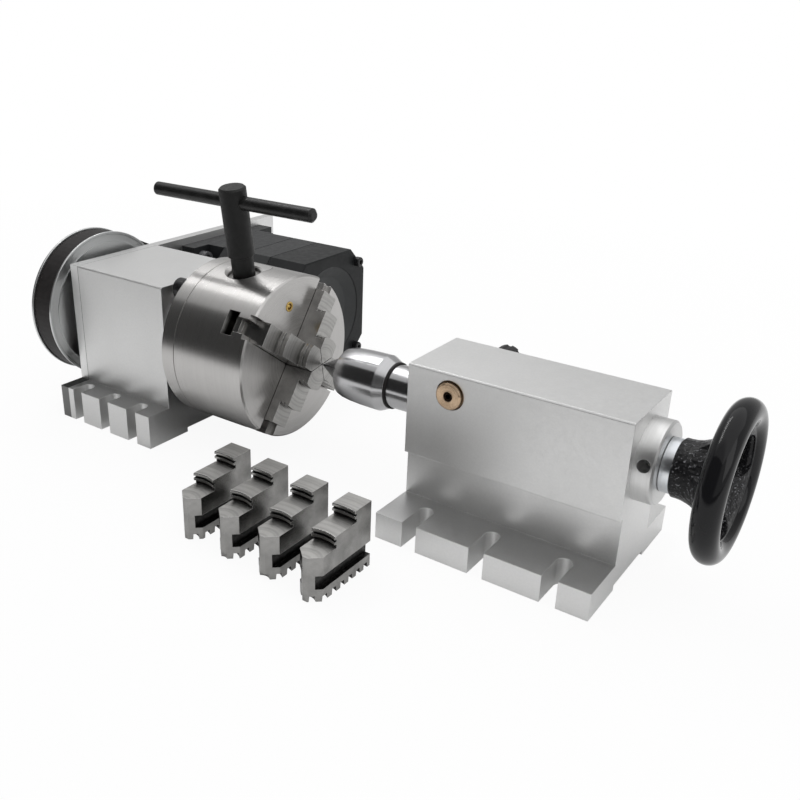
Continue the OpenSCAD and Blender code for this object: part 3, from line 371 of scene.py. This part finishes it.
def turn_up(name, outline, along=(1, 0, 0), centre=(0, 0, spindle_height), steps=144):
    """Turns an outline, given as places along the axis and distances from it in millimetres, round the
    axis. A ring comes from an outline that keeps away from the axis."""
    along, centre = Vector(along), Vector(centre)
    first = along.orthogonal().normalized()
    second = along.cross(first)
    corners, rows, faces = [], [], []
    for place, radius in outline:
        row = []
        for k in range(steps if radius > 0 else 1):
            turn = 2 * math.pi * k / steps
            reach_out = (first * math.cos(turn) + second * math.sin(turn)) * radius / 1000
            row.append(len(corners))
            corners.append(centre + along * place / 1000 + reach_out)
        rows.append(row)
    for row, after in zip(rows, rows[1:] + rows[:1]):
        if len(row) == 1 and len(after) == 1:
            continue
        for k in range(steps):
            here, there = [row[j % len(row)] for j in (k, k + 1)], [after[j % len(after)] for j in (k + 1, k)]
            faces.append(list(dict.fromkeys(here + there)))
    piece = solid(name, corners, faces)
    smooth_faces(piece)
    return piece


def drill(piece, low, high, radius, centre, steps=144):
    """Bores a round hole along X between two places. Six steps make a hexagon socket."""
    outline = [(low, 0), (high, 0), (high, radius), (low, radius)]
    combine(piece, turn_up("hole", outline, (1, 0, 0), centre, steps), "DIFFERENCE")


def paint(piece, material):
    piece.data.materials.clear()
    piece.data.materials.append(material)


motor_y, motor_z = 102.0, 54.0
motor_axis = (0, motor_y / 1000, motor_z / 1000)
frame_half, pocket_notch, housing_corner = 43.0, 15.0, 16.5
flange_x, pocket_end_x, seam_x, rear_x = -23.5, -9.0, 35.0, 66.5
joint_groove, stack_groove_x, cap_bevel = 0.5, (12.0, 12.8), 0.8
rotor_space_r, bearing_r, bearing_end_x = 24.3, 16.0, 53.0


def on_motor(u, v, x):
    return (x, motor_y + u, motor_z + v)


def four_ways(corner_places):
    """The same corner four times round a square."""
    quarter_turns = ((1, 0), (0, 1), (-1, 0), (0, -1))
    return [(u * c - v * s, u * s + v * c) for c, s in quarter_turns for u, v in corner_places]


def housing(name, sections):
    """An eight sided casting through sections given as place and half width."""
    corners, faces = [], []
    for x, wide in sections:
        eight = four_ways([(wide, wide - housing_corner), (wide - housing_corner, wide)])
        corners += [Vector(on_motor(u, v, x)) / 1000 for u, v in eight]
    for k in range(len(sections) - 1):
        faces += [[8 * k + j, 8 * k + (j + 1) % 8, 8 * k + 8 + (j + 1) % 8, 8 * k + 8 + j] for j in range(8)]
    faces += [list(range(8)), list(range(8 * len(sections) - 1, 8 * len(sections) - 9, -1))]
    return solid(name, corners, faces)


notch_in, narrow = frame_half - pocket_notch, frame_half - joint_groove
front_pocket = prism("motor_screw_pocket", four_ways([
    (frame_half, notch_in), (notch_in, notch_in), (notch_in, frame_half)]), flange_x, pocket_end_x, on_motor)
stack = housing("motor_stack", [
    (pocket_end_x, frame_half), (stack_groove_x[0], frame_half), (stack_groove_x[0] + 0.1, narrow),
    (stack_groove_x[1] - 0.1, narrow), (stack_groove_x[1], frame_half), (seam_x - 0.4, frame_half),
    (seam_x - 0.3, narrow), (seam_x, narrow)])
rear_cap = housing("motor_cap", [
    (seam_x, narrow), (seam_x + 0.3, narrow), (seam_x + 0.4, frame_half), (rear_x - cap_bevel, frame_half),
    (rear_x, frame_half - cap_bevel)])
for piece in (front_pocket, stack):
    drill(piece, flange_x - 1, seam_x + 1, rotor_space_r, motor_axis)
combine(rear_cap, turn_up("bearing_seat", [
    (seam_x - 1, 0), (bearing_end_x, 0), (bearing_end_x, bearing_r), (seam_x + 6, bearing_r),
    (seam_x + 6, rotor_space_r), (seam_x - 1, rotor_space_r)], (1, 0, 0), motor_axis), "DIFFERENCE")

# The rear face is sunk to a round bowl, with a low boss in its middle where the bearing sits.
bowl_mouth_r, bowl_floor_r, bowl_depth, boss_r, boss_rise = 34.6, 26.5, 6.0, 9.0, 1.4
bowl_floor_x = rear_x - bowl_depth
combine(rear_cap, turn_up("bowl", [
    (rear_x + 1, 0), (rear_x + 1, bowl_mouth_r + 0.7), (rear_x - 0.6, bowl_mouth_r),
    (bowl_floor_x + 0.5, bowl_floor_r + 1), (bowl_floor_x, bowl_floor_r), (bowl_floor_x, boss_r),
    (bowl_floor_x + boss_rise, boss_r - 0.6), (bowl_floor_x + boss_rise, 0)],
    (1, 0, 0), motor_axis), "DIFFERENCE")
tie_screw_place, tie_hole_r, tie_shank_r, tie_head_r, tie_head_l, tie_socket_r = 32.9, 2.2, 2.0, 3.5, 4.0, 1.7
tie_screw_axes = [(0, (motor_y + u) / 1000, (motor_z + v) / 1000)
                  for u, v in four_ways([(tie_screw_place, tie_screw_place)])]
for screw_axis in tie_screw_axes:
    drill(rear_cap, seam_x - 1, rear_x + 1, tie_hole_r, screw_axis, 32)

cap_enamel = cast_enamel("cap_enamel", shade(motor_black, 0.8), 0.42, 0.0006)
shader_of(cap_enamel).inputs["Specular IOR Level"].default_value = 0.2
bowl_grey, bowl_rim = (0.048, 0.050, 0.051), [(bowl_mouth_r + play) / 1000 for play in (-0.3, 0.3)]
from_cap_axis = axis_and_radius(cap_enamel, "X", motor_axis)[1]
blotch(cap_enamel, between(cap_enamel, from_cap_axis, 1.0, 0.0, bowl_rim), 1.0, bowl_grey, whole)
for piece, enamel, node in ((front_pocket, lamination, "motor_stator"), (stack, lamination, "motor_stator"),
                            (rear_cap, cap_enamel, "motor_rear_cap")):
    paint(piece, enamel)
    smooth_faces(piece)
    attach(piece, "headstock")
    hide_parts(node)
for k, screw_axis in enumerate(tie_screw_axes):
    tie_screw = turn_up("tie_screw_%d" % (k + 1), [
        (seam_x + 1, 0), (seam_x + 1, tie_shank_r), (rear_x, tie_shank_r), (rear_x, tie_head_r),
        (rear_x + tie_head_l - 0.6, tie_head_r), (rear_x + tie_head_l, tie_head_r - 0.5),
        (rear_x + tie_head_l, 0)], (1, 0, 0), screw_axis, 48)
    drill(tie_screw, rear_x + 1.8, rear_x + 5, tie_socket_r, screw_axis, 6)
    paint(tie_screw, screw_black)
    smooth_faces(tie_screw)
    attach(tie_screw, "headstock")
    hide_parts("motor_tie_screws")


# Belt drive. A toothed rubber belt runs from the small steel pulley on the motor to the big one on
# the spindle. The big pulley is turned aluminium with thin flanges pressed on at both sides.
pulley_aluminium = (0.62, 0.63, 0.63)
pulley_turned = turned("pulley_turned", pulley_aluminium, 0.30, 0.75, 0.0006)
dress(pulley_turned, "large_pulley")
dress(hard_steel, "motor_pulley")

flange_rim_r, flange_seat_r, flange_thick = 50.2, 43.7, 1.5
block_side_x, outer_side_x, rim_break, dish = -49.5, -69.5, 0.3, 0.35
back_x, front_x = block_side_x - flange_thick, outer_side_x + flange_thick
block_flange = turn_up("block_side_flange", [
    (back_x, flange_seat_r), (back_x, flange_rim_r - rim_break), (back_x + rim_break, flange_rim_r),
    (block_side_x - rim_break, flange_rim_r), (block_side_x, flange_rim_r - rim_break),
    (block_side_x, flange_rim_r - 1.6), (block_side_x - dish, flange_rim_r - 1.9),
    (block_side_x - dish, flange_seat_r + 0.6), (block_side_x - 0.1, flange_seat_r)])
outer_flange = turn_up("outer_side_flange", [
    (outer_side_x, flange_seat_r), (outer_side_x, flange_rim_r - rim_break),
    (outer_side_x + rim_break, flange_rim_r), (front_x - rim_break, flange_rim_r),
    (front_x, flange_rim_r - rim_break), (front_x, flange_seat_r)])
for flange in (block_flange, outer_flange):
    flange.data.materials.append(pulley_turned)
    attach(flange, "spindle")
    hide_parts("pulley_flanges")

belt_black = (0.012, 0.010, 0.010)
belt_rubber = finish("belt_rubber", belt_black, 0.55, 0.0)
shader_of(belt_rubber).inputs["Specular IOR Level"].default_value = 0.3
tint(belt_rubber, speckle(belt_rubber, 0.004), belt_black, shade(belt_black, 1.5))
break_edges(belt_rubber, 0.0005)
emboss(belt_rubber, speckle(belt_rubber, 0.0006, (1, 20, 20)), 0.00004, 0.5)
dress(belt_rubber, "timing_belt")


# Chuck. Turned steel body on a cast iron back plate, finished on the lathe in one setting, so the
# same fine rings run over both. The scroll and its pinions inside are hardened.
chuck_steel = (0.55, 0.54, 0.53)
chuck_cut = (0.29, 0.85, 0.00025, 0.0002)
chuck_turned = turned("chuck_turned", chuck_steel, *chuck_cut)
dress(chuck_turned, "chuck_backplate", "scroll_cover")

chuck_r, face_x = 0.050, 0.119
# Colour and reach of a painted shade deep inside the jaw slots of the body.
painted_slot_shade = (0.02, 0.018, 0.015)
slot_shade_r, slot_shade_x = (chuck_r - 0.0045, chuck_r - 0.0010), (face_x - 0.0150, face_x - 0.0120)
body_turned = turned("body_turned", chuck_steel, *chuck_cut)
along_body, from_body_axis = axis_and_radius(body_turned)
inside = reckon(body_turned, "MULTIPLY",
                between(body_turned, from_body_axis, 1.0, 0.0, slot_shade_r),
                between(body_turned, along_body, 1.0, 0.0, slot_shade_x))

# A hardened bush is pressed in round each key hole, and a dark line shows where it meets the body.
key_low, key_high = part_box("key_hub")
key_place = ((key_low[0] + key_high[0]) / 2, 0, 0)
bush_r, bush_line, bush_pale, bush_dark = 0.0123, 0.00022, (0.80, 0.79, 0.78), (0.03, 0.028, 0.025)
from_hole = axis_and_radius(body_turned, "Z", key_place)[1]
on_bush = between(body_turned, from_hole, 1.0, 0.0, (bush_r, bush_r + 0.0001))
blotch(body_turned, on_bush, 0.7, bush_pale, whole)
ring_line = add(body_turned, "ShaderNodeMath", operation="COMPARE")
ring_line.inputs[1].default_value, ring_line.inputs[2].default_value = bush_r, bush_line
join(body_turned, from_hole, ring_line.inputs[0])
blotch(body_turned, ring_line.outputs[0], 0.85, bush_dark, whole)
off_bush = between(body_turned, from_hole, 0.0, 1.0, (bush_r, bush_r + 0.0005))
# Painted shade: deep in the jaw slots, away from the key bushes, the body is darkened.
blotch(body_turned, reckon(body_turned, "MULTIPLY", inside, off_bush), 1.0, painted_slot_shade, whole)
dress(body_turned, "chuck_body")
dress(screw_black, "backplate_screws", "chuck_bolts")
dress(hard_steel, "scroll", "key_pinion", "idle_pinion")


# Jaws. Hardened steel, ground and polished on the flanks and turned on the steps while they sat in
# the chuck, so each tread carries arcs round the spindle. They slide in the slots of the body.
jaw_steel, bright_edge = (0.37, 0.365, 0.355), (0.80, 0.79, 0.78)


def jaw_finish(name, along, centre):
    """Polished flanks with grey hardening clouds, paler treads with turned arcs, bright edges."""
    material = finish(name, jaw_steel, 0.24)
    rings = ring_place(material, along, centre)[0]
    facing = split(material, add(material, "ShaderNodeTexCoord").outputs["Normal"])
    tread = between(material, facing[along], 0.0, 1.0, (0.8, 0.95))
    tint(material, speckle(material, 0.009), shade(jaw_steel, 0.62), shade(jaw_steel, 1.05))
    blotch(material, tread, 0.7, shade(jaw_steel, 1.35), whole)
    arcs = reckon(material, "MULTIPLY", speckle(material, 0.0022, detail=2, source=rings), tread)
    blotch(material, arcs, 0.5, shade(jaw_steel, 0.7), (0.48, 0.62))
    scratches = reckon(material, "MULTIPLY", speckle(material, 0.0009, detail=6), tread)
    vary(material, scratches, "Roughness", 0.24, 0.50, (0.1, 0.6))
    break_edges(material, 0.0003)
    rub_edges(material, bright_edge, 0.0003, 0.8)
    emboss(material, speckle(material, 0.0005, detail=2), 0.000006, 0.5)
    return material


jaw_polished = jaw_finish("jaw_polished", "X", (0, 0, spindle_height))
dress(jaw_polished, "jaw_1", "jaw_2", "jaw_3", "jaw_4")


# Spare jaws. The second set has its steps turned outward, with a blunt nose, two grip grooves in
# each riser and the scroll teeth below. The four stand on their teeth on the table.
jaw_width, jaw_neck = 14.0, 8.4
jaw_nose_x, jaw_bevel, jaw_back_x = 2.0, 5.2, 46.2
jaw_plate_z, jaw_slot_z, jaw_body_z = 3.1, 6.9, 14.4
jaw_tread_z, jaw_riser_r = (24.7, 31.2, 37.6), (17.5, 33.2)
risers = list(zip(jaw_riser_r, jaw_tread_z, jaw_tread_z[1:]))
grip_depth, tooth_spacing, tooth_width, tooth_bevel = 1.4, 6.35, 3.7, 0.3


def jaw_profile(first_tooth):
    """Places and radii of the turned steps and of the teeth, as millimetres along and from the axis.
    A first tooth far from the nose leaves room for the end of the one before it."""
    outline = [(jaw_plate_z, 0)]
    tooth_r, half_tooth = first_tooth, tooth_width / 2
    if tooth_r > 5:
        end_r = tooth_r - tooth_spacing + half_tooth
        outline = [(0, 0), (0, end_r - tooth_bevel), (jaw_plate_z, end_r)]
    while tooth_r + half_tooth < jaw_back_x + 2:
        outline += [(jaw_plate_z, tooth_r - half_tooth), (0, tooth_r - half_tooth + tooth_bevel),
                    (0, tooth_r + half_tooth - tooth_bevel), (jaw_plate_z, tooth_r + half_tooth)]
        tooth_r += tooth_spacing
    outline += [(jaw_plate_z, 60), (jaw_tread_z[2], 60)]
    for r, low, top in reversed(risers):
        outline += [(top, r + 0.3), (top - 0.3, r), (top - 1.5, r), (top - 1.7, r + grip_depth),
                    (top - 2.7, r + grip_depth), (top - 2.9, r), (low + 2.2, r), (low + 2.0, r + grip_depth),
                    (low, r + grip_depth)]
    return outline + [(jaw_tread_z[0], 0)]


spare_polished = jaw_finish("spare_polished", "Z", (0, 0, 0))
# Painted shade: a near black steel for the faces in the T slot, the grip grooves and between the teeth.
recess_shade_steel = finish("recess_shade_steel", shade(jaw_steel, 0.1), 0.35)
tint(recess_shade_steel, speckle(recess_shade_steel, 0.002), shade(jaw_steel, 0.06), shade(jaw_steel, 0.22))
break_edges(recess_shade_steel, 0.0002)
half, neck = jaw_width / 2, jaw_neck / 2
grooves = [(r, span) for r, low, top in risers
           for span in ((top - 2.95, top - 1.65), (low - 0.1, low + 2.25))]


def is_recess(face):
    """Whether a face lies in the T slot, in a grip groove or between two teeth, where the painted shade goes.
    """
    x, y, z = face.center * 1000
    from_axis, within_sides = math.hypot(x, y), abs(y) < half - 0.05
    in_slot = jaw_slot_z - 0.1 < z < jaw_body_z + 0.1 and within_sides
    in_groove = any(r + 0.2 < from_axis < r + grip_depth + 0.1 and start < z < end
                    for r, (start, end) in grooves)
    between_teeth = z < jaw_plate_z - 0.1 and abs(face.normal.z) < 0.5 and within_sides
    behind_nose = x > jaw_nose_x + jaw_bevel or abs(face.normal.x) < 0.3
    return (in_slot or in_groove or between_teeth) and behind_nose


spare_x, spare_y, spare_spacing, spare_shift = 0.1359, -0.0697, 0.028, 0.0017
for i in range(4):
    jaw = prism("spare_jaw_blank", [
        (-half, -1), (half, -1), (half, jaw_slot_z), (neck, jaw_slot_z), (neck, jaw_body_z),
        (half, jaw_body_z), (half, 42), (-half, 42), (-half, jaw_body_z), (-neck, jaw_body_z),
        (-neck, jaw_slot_z), (-half, jaw_slot_z)], jaw_nose_x, jaw_back_x, lambda u, v, x: (x, u, v))
    nose = prism("spare_jaw_nose", [
        (jaw_nose_x, -1.4), (jaw_nose_x + jaw_bevel, -half - 0.1), (60, -half - 0.1), (60, half + 0.1),
        (jaw_nose_x + jaw_bevel, half + 0.1), (jaw_nose_x, 1.4)], -2, 43, lambda u, v, z: (u, v, z))
    combine(jaw, nose, "INTERSECT")
    steps = turn_up("spare_jaw_steps", jaw_profile(3.2 + 1.6 * i), (0, 0, 1), (0, 0, 0), 192)
    combine(jaw, steps, "INTERSECT")
    jaw.name = jaw.data.name = "stepped_jaw_%d" % (i + 1)
    smooth_faces(jaw)
    paint(jaw, spare_polished)
    jaw.data.materials.append(recess_shade_steel)
    # Faces in the recesses take the painted shade.
    for face in jaw.data.polygons:
        if is_recess(face):
            face.material_index = 1
    jaw.rotation_euler = (0, 0, math.pi / 2)
    jaw.location = (spare_x + spare_spacing * i, spare_y - spare_shift * i - jaw_back_x / 1000, 0)
    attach(jaw, "headstock")
    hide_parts("spare_jaw_%d" % (i + 1))


# Oiler in the chuck face: a small brass cup, pressed in, with a spring ball in its mouth.
brass_colour = (0.62, 0.43, 0.14)
oiler_brass = finish("oiler_brass", brass_colour, 0.25)
vary(oiler_brass, speckle(oiler_brass, 0.001), "Roughness", 0.2, 0.35)
tint(oiler_brass, speckle(oiler_brass, 0.0008), shade(brass_colour, 0.8), brass_colour)
break_edges(oiler_brass, 0.0002)
dress(oiler_brass, "face_oiler")


# Chuck key. A turned hub with a square end in the pinion, and a plain cross bar. Both are blacked.
hub_black = blacked("hub_black", (0.004, 0.004, 0.004), 0.46)
centre_hole_r, centre_hole_depth, key_top = 0.0022, 0.001, key_high[2]
along_key, from_key_axis = axis_and_radius(hub_black, "Z", key_place)
centre_hole = reckon(hub_black, "MULTIPLY",
                     between(hub_black, from_key_axis, 1.0, 0.0, (centre_hole_r, centre_hole_r + 0.0004)),
                     between(hub_black, along_key, 0.0, 1.0, (key_top - 0.0005, key_top - 0.0002)))
emboss(hub_black, between(hub_black, centre_hole, 1.0, 0.0, whole), centre_hole_depth)
bar_black = blacked("bar_black", (0.008, 0.008, 0.008), 0.34)
dress(hub_black, "key_hub")
dress(bar_black, "key_bar")


# Tailstock. The same blasted and anodised aluminium as the headstock, with a turned collar that
# closes its bore at the handwheel end and takes the thrust of the screw between bronze washers.
tail_aluminium = (0.80, 0.80, 0.795)
satin_tail = anodised("satin_tail", tail_aluminium)
dress(satin_tail, "tailstock_block")
collar_turned = turned("collar_turned", tail_aluminium, 0.42, 0.3, 0.0004)
dress(collar_turned, "end_collar")

bronze_colour = (0.52, 0.37, 0.21)
bronze_turned = finish("bronze_turned", bronze_colour, 0.30)
tint(bronze_turned, speckle(bronze_turned, 0.003), shade(bronze_colour, 0.75), bronze_colour)
vary(bronze_turned, speckle(bronze_turned, 0.0006), "Roughness", 0.24, 0.40)
break_edges(bronze_turned, 0.0003)
dress(bronze_turned, "thrust_washers")


# Quill lock. Two bronze cotters close on the quill from both sides, drawn together by a steel stud
# with a black plastic knob at the back.
lock_place = (0.2392, 0, 0.0804)
plug_r, plug_head_r, plug_bore_r, plug_inner_y, plug_face_y, plug_out = 7.98, 7.2, 2.6, 13.2, 25.0, 2.5
plug_gap_shade, plug_stain = (0.03, 0.022, 0.015), (0.36, 0.23, 0.13)
plug_turned = turned("plug_turned", (0.66, 0.49, 0.34), 0.26, 0.6, 0.0003, 0.0003, "Y", lock_place)
blotch(plug_turned, speckle(plug_turned, 0.002), 0.35, plug_stain)
# Painted shade on the sunk shoulder round the plug head, from 7.25 mm out from its axis.
from_plug_axis = axis_and_radius(plug_turned, "Y", lock_place)[1]
gap_shade_mask = between(plug_turned, from_plug_axis, 0.0, 1.0, (0.00725, 0.0074))
blotch(plug_turned, gap_shade_mask, 1.0, plug_gap_shade, whole)
plug_end_y, plug_shoulder_y = plug_face_y + plug_out, plug_face_y - 0.8
front_outline = [
    (plug_inner_y, plug_bore_r), (plug_end_y - 0.3, plug_bore_r), (plug_end_y - 0.2, 2.9),
    (plug_end_y - 0.35, 4.0), (plug_end_y, 5.9), (plug_end_y, 6.3), (plug_end_y - 0.8, plug_head_r),
    (plug_shoulder_y, plug_head_r), (plug_shoulder_y, plug_r), (plug_inner_y, plug_r)]
back_outline = [(plug_inner_y, plug_bore_r), (plug_face_y + 1, plug_bore_r), (plug_face_y + 1, plug_r),
                (plug_inner_y, plug_r)]
for name, side, outline in (("front_plug", -1, front_outline), ("back_plug", 1, back_outline)):
    plug = turn_up(name, outline, (0, side, 0), lock_place, 96)
    plug.data.materials.append(plug_turned)
    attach(plug, "tailstock")
    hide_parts("lock_cotters")

stud_brown = finish("stud_brown", (0.020, 0.012, 0.008), 0.5)
tint(stud_brown, speckle(stud_brown, 0.001), (0.012, 0.007, 0.005), (0.030, 0.018, 0.012))
break_edges(stud_brown, 0.0002)
dress(stud_brown, "lock_stud")
knob_plastic = cast_enamel("knob_plastic", (0.02, 0.02, 0.02), 0.5)
dress(knob_plastic, "lock_knob")


# Quill and live centre. The quill is ground steel with a keyway below. The centre turns in its own
# bearings behind a rubber seal, its head turned and polished down to a hardened point.
polished_colour = (0.55, 0.55, 0.56)
polished = turned("polished", polished_colour, 0.20, 0.7, 0.0003)
dress(polished, "quill", "centre_shank", "centre_bearing_inners", "centre_bearing_outers")
dress(bronze_turned, "quill_nut")
dress(hard_steel, "quill_key")

tip_x, head_x0, head_x1, skirt_x1 = 138.8, 155.8, 184.6, 190.4
cone_r, head_r, skirt_r, skirt_bore_r, skirt_floor_x = 9.8, 16.2, 13.5, 12.8, 182.0
centre_head = turn_up("live_centre_head", [
    (tip_x, 0), (head_x0, cone_r), (head_x0 + 0.2, 12.6), (head_x0 + 1.4, 14.0), (head_x0 + 4, 14.9),
    (head_x0 + 9, 15.6), (head_x0 + 16, 16.05), (head_x1 - 5, head_r), (head_x1, head_r), (skirt_x1, skirt_r),
    (skirt_x1, skirt_bore_r), (skirt_floor_x, skirt_bore_r), (skirt_floor_x, 0)])
smooth_faces(centre_head, 14)
centre_head.data.materials.append(polished)
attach(centre_head, "live_centre")
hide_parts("centre_head")

seal = turn_up("centre_rubber_seal", [
    (skirt_x1 - 0.6, 12.75), (skirt_x1 + 0.05, 13.45), (skirt_x1 + 1.3, 13.45), (skirt_x1 + 1.6, 13.1),
    (skirt_x1 + 1.6, 12.7)])
seal.data.materials.append(belt_rubber)
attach(seal, "live_centre")
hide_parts("centre_seal")


# Feed screw and its sleeve. The sleeve between collar and handwheel is zinc plated and passivated,
# which leaves a faint blue.
dress(ground_steel, "lead_screw")
zinc_colour = (0.86, 0.88, 0.90)
zinc_plated = turned("zinc_plated", zinc_colour, 0.30, 0.2)
blotch(zinc_plated, speckle(zinc_plated, 0.003), 0.5, (0.72, 0.76, 0.82))
dress(zinc_plated, "screw_sleeve", "wheel_nut")


# Handwheel. Cast iron with three windows in its dished web. Web and hub keep the sand cast skin
# under thick black enamel. The rim was turned and polished before it was painted.
wheel_black, painted_glint_grey = (0.008, 0.008, 0.009), (0.30, 0.30, 0.32)
rim_inner, rim_outer = 0.0245, 0.0275
wheel_enamel = finish("wheel_enamel", wheel_black, 0.16, 0.0)
shader_of(wheel_enamel).inputs["Specular IOR Level"].default_value = 0.25
from_wheel_axis = axis_and_radius(wheel_enamel)[1]
vary(wheel_enamel, from_wheel_axis, "Roughness", 0.30, 0.07, (rim_inner, rim_outer))
break_edges(wheel_enamel, 0.0006)
cast_skin = reckon(wheel_enamel, "MULTIPLY", speckle(wheel_enamel, 0.0022, detail=3),
                   between(wheel_enamel, from_wheel_axis, 1.0, 0.02, (rim_inner, rim_outer)))
emboss(wheel_enamel, cast_skin, 0.0008)
# Painted glints: pale specks on the cast skin of web and hub stand in for the sparkle of light on it.
painted_glints = reckon(wheel_enamel, "MULTIPLY",
                between(wheel_enamel, speckle(wheel_enamel, 0.0011, detail=2), 0.0, 1.0, (0.60, 0.68)),
                between(wheel_enamel, from_wheel_axis, 1.0, 0.0, (rim_inner, rim_outer)))
blotch(wheel_enamel, painted_glints, 0.6, painted_glint_grey, whole)
dress(wheel_enamel, "handwheel")


# Studio. A pale floor that keeps the shadow of the set, an even surround with a dark bay in front that
# gives the turned steel its dark bands, a broad panel above, two narrow strips and a box at the right.
# The camera sees the floor nearly white. In metal its front part is dark, and a painted shadow lies below the
# chuck.
floor_white, floor_unlit = (0.90, 0.90, 0.90), (0.06, 0.06, 0.06)
seen_share, seen_reach = (0.93, 1.0), (0.35, 0.8)
mirrored_share, dark_front_y = 0.12, (-0.55, -0.30)
under_chuck, under_chuck_reach, under_chuck_shadow = (0.07, 0.03, 0.0), (0.045, 0.10), 0.95
floor_paint = finish("floor", floor_white, 0.9, 0.0)
shader_of(floor_paint).inputs["Specular IOR Level"].default_value = 0.0
floor_place = own_place(floor_paint)
paths = add(floor_paint, "ShaderNodeLightPath")
away = add(floor_paint, "ShaderNodeVectorMath", operation="LENGTH")
join(floor_paint, floor_place, away.inputs[0])
seen = reckon(floor_paint, "MULTIPLY", paths.outputs["Is Camera Ray"],
              between(floor_paint, away.outputs["Value"], *seen_share, seen_reach))
# Painted shadow on the floor below the chuck, seen only in metal.
under = add(floor_paint, "ShaderNodeVectorMath", operation="DISTANCE")
under.inputs[1].default_value = under_chuck
join(floor_paint, floor_place, under.inputs[0])
dark = reckon(floor_paint, "MAXIMUM",
              between(floor_paint, split(floor_paint, floor_place)["Y"], 1.0, 0.0, dark_front_y),
              between(floor_paint, under.outputs["Value"], under_chuck_shadow, 0.0, under_chuck_reach))
mirrored = reckon(floor_paint, "MAXIMUM", paths.outputs["Is Glossy Ray"],
                  paths.outputs["Is Transmission Ray"])
tint(floor_paint, reckon(floor_paint, "MULTIPLY", dark, mirrored), floor_white, floor_unlit, whole)
dimmed = reckon(floor_paint, "MULTIPLY", mirrored, between(floor_paint, dark, mirrored_share, 0.0, whole))
glow = add(floor_paint, "ShaderNodeEmission")
glow.inputs["Strength"].default_value = 1.0
both = add(floor_paint, "ShaderNodeMixShader")
join(floor_paint, reckon(floor_paint, "ADD", seen, dimmed), both.inputs[0])
join(floor_paint, shader_of(floor_paint).outputs[0], both.inputs[1])
join(floor_paint, glow.outputs[0], both.inputs[2])
join(floor_paint, both.outputs[0], floor_paint.node_tree.nodes["Material Output"].inputs["Surface"])

floor_mesh = bpy.data.meshes.new("floor")
reach = 6.0
floor_mesh.from_pydata([(-reach, -reach, 0), (reach, -reach, 0), (reach, reach, 0), (-reach, reach, 0)], [],
                       [(0, 1, 2, 3)])
floor = bpy.data.objects.new("floor", floor_mesh)
floor.location.z = -0.0002
floor_mesh.materials.append(floor_paint)
bpy.context.collection.objects.link(floor)

surround = bpy.data.worlds.new("surround")
bpy.context.scene.world = surround
surround.use_nodes = True
sky = surround.node_tree.nodes["Background"]
sky.inputs["Color"].default_value = (1, 1, 1, 1)
look = add(surround, "ShaderNodeTexCoord")
side_light, top_light, bay_light, diffuse_light = 0.49, 0.55, 0.06, 0.55
dark_bay, bay_edge = Vector((-0.35, -0.85, 0.40)).normalized(), (0.55, 0.78)
height = split(surround, look.outputs["Generated"])["Z"]
wall = between(surround, height, side_light, top_light, (0.30, 0.75))
toward = add(surround, "ShaderNodeVectorMath", operation="DOT_PRODUCT")
toward.inputs[1].default_value = dark_bay
join(surround, look.outputs["Generated"], toward.inputs[0])
fade = add(surround, "ShaderNodeMapRange", interpolation_type="SMOOTHSTEP")
fade.inputs["From Min"].default_value, fade.inputs["From Max"].default_value = bay_edge
fade.inputs["To Min"].default_value, fade.inputs["To Max"].default_value = 1.0, bay_light
join(surround, toward.outputs["Value"], fade.inputs["Value"])
rays = add(surround, "ShaderNodeLightPath")
even = add(surround, "ShaderNodeMix", data_type="FLOAT")
join(surround, rays.outputs["Is Diffuse Ray"], even.inputs["Factor"])
join(surround, reckon(surround, "MULTIPLY", wall, fade.outputs["Result"]), even.inputs["A"])
even.inputs["B"].default_value = diffuse_light
plain = add(surround, "ShaderNodeMix", data_type="FLOAT")
join(surround, rays.outputs["Is Camera Ray"], plain.inputs["Factor"])
join(surround, even.outputs["Result"], plain.inputs["A"])
plain.inputs["B"].default_value = 1.0
join(surround, plain.outputs["Result"], sky.inputs["Strength"])


def soft_box(name, place, target, size, power):
    """A soft box lamp that faces its target."""
    lamp = bpy.data.lights.new(name, "AREA")
    lamp.shape = "RECTANGLE"
    lamp.size, lamp.size_y = size
    lamp.energy = power
    box = bpy.data.objects.new(name, lamp)
    box.location = place
    box.rotation_euler = (Vector(target) - Vector(place)).to_track_quat("-Z", "Y").to_euler()
    bpy.context.collection.objects.link(box)


middle = (0.13, 0, 0.06)
soft_box("top_panel", (0.15, 0.10, 1.2), middle, (2.6, 2.2), 10)
strip_target = (0.37, 0, 0.10)
soft_box("near_strip", (-0.36, 0.25, 1.05), strip_target, (0.8, 0.03), 1.1)
soft_box("far_strip", (-0.48, 0.25, 1.00), strip_target, (0.8, 0.03), 1.1)
soft_box("right_box", (1.3, -0.2, 0.6), middle, (0.7, 0.7), 1.8)


# Camera. It looks down on the set from the front right, as the set was photographed.
camera_place = Vector((0.4480, -0.4051, 0.2659))
camera_azimuth = math.radians(36.27)
camera_elevation = math.radians(23.73)
camera_roll = math.radians(0.82)
focal_length = 41.56
photo_shift = (0.0772, 0.0004)

camera = bpy.data.objects.new("camera", bpy.data.cameras.new("camera"))
bpy.context.collection.objects.link(camera)
level_right = Vector((math.cos(camera_azimuth), math.sin(camera_azimuth), 0))
level_up = Vector((-math.sin(camera_azimuth) * math.sin(camera_elevation),
                   math.cos(camera_azimuth) * math.sin(camera_elevation), math.cos(camera_elevation)))
right = level_right * math.cos(camera_roll) + level_up * math.sin(camera_roll)
up = level_up * math.cos(camera_roll) - level_right * math.sin(camera_roll)
back = right.cross(up)
camera.matrix_world = Matrix([(right[i], up[i], back[i], camera_place[i]) for i in range(3)] + [(0, 0, 0, 1)])
camera.data.lens = focal_length
camera.data.sensor_width = 36
camera.data.shift_x, camera.data.shift_y = photo_shift
camera.data.clip_start = 0.01
bpy.context.scene.camera = camera
bpy.context.scene.view_settings.view_transform = "Standard"
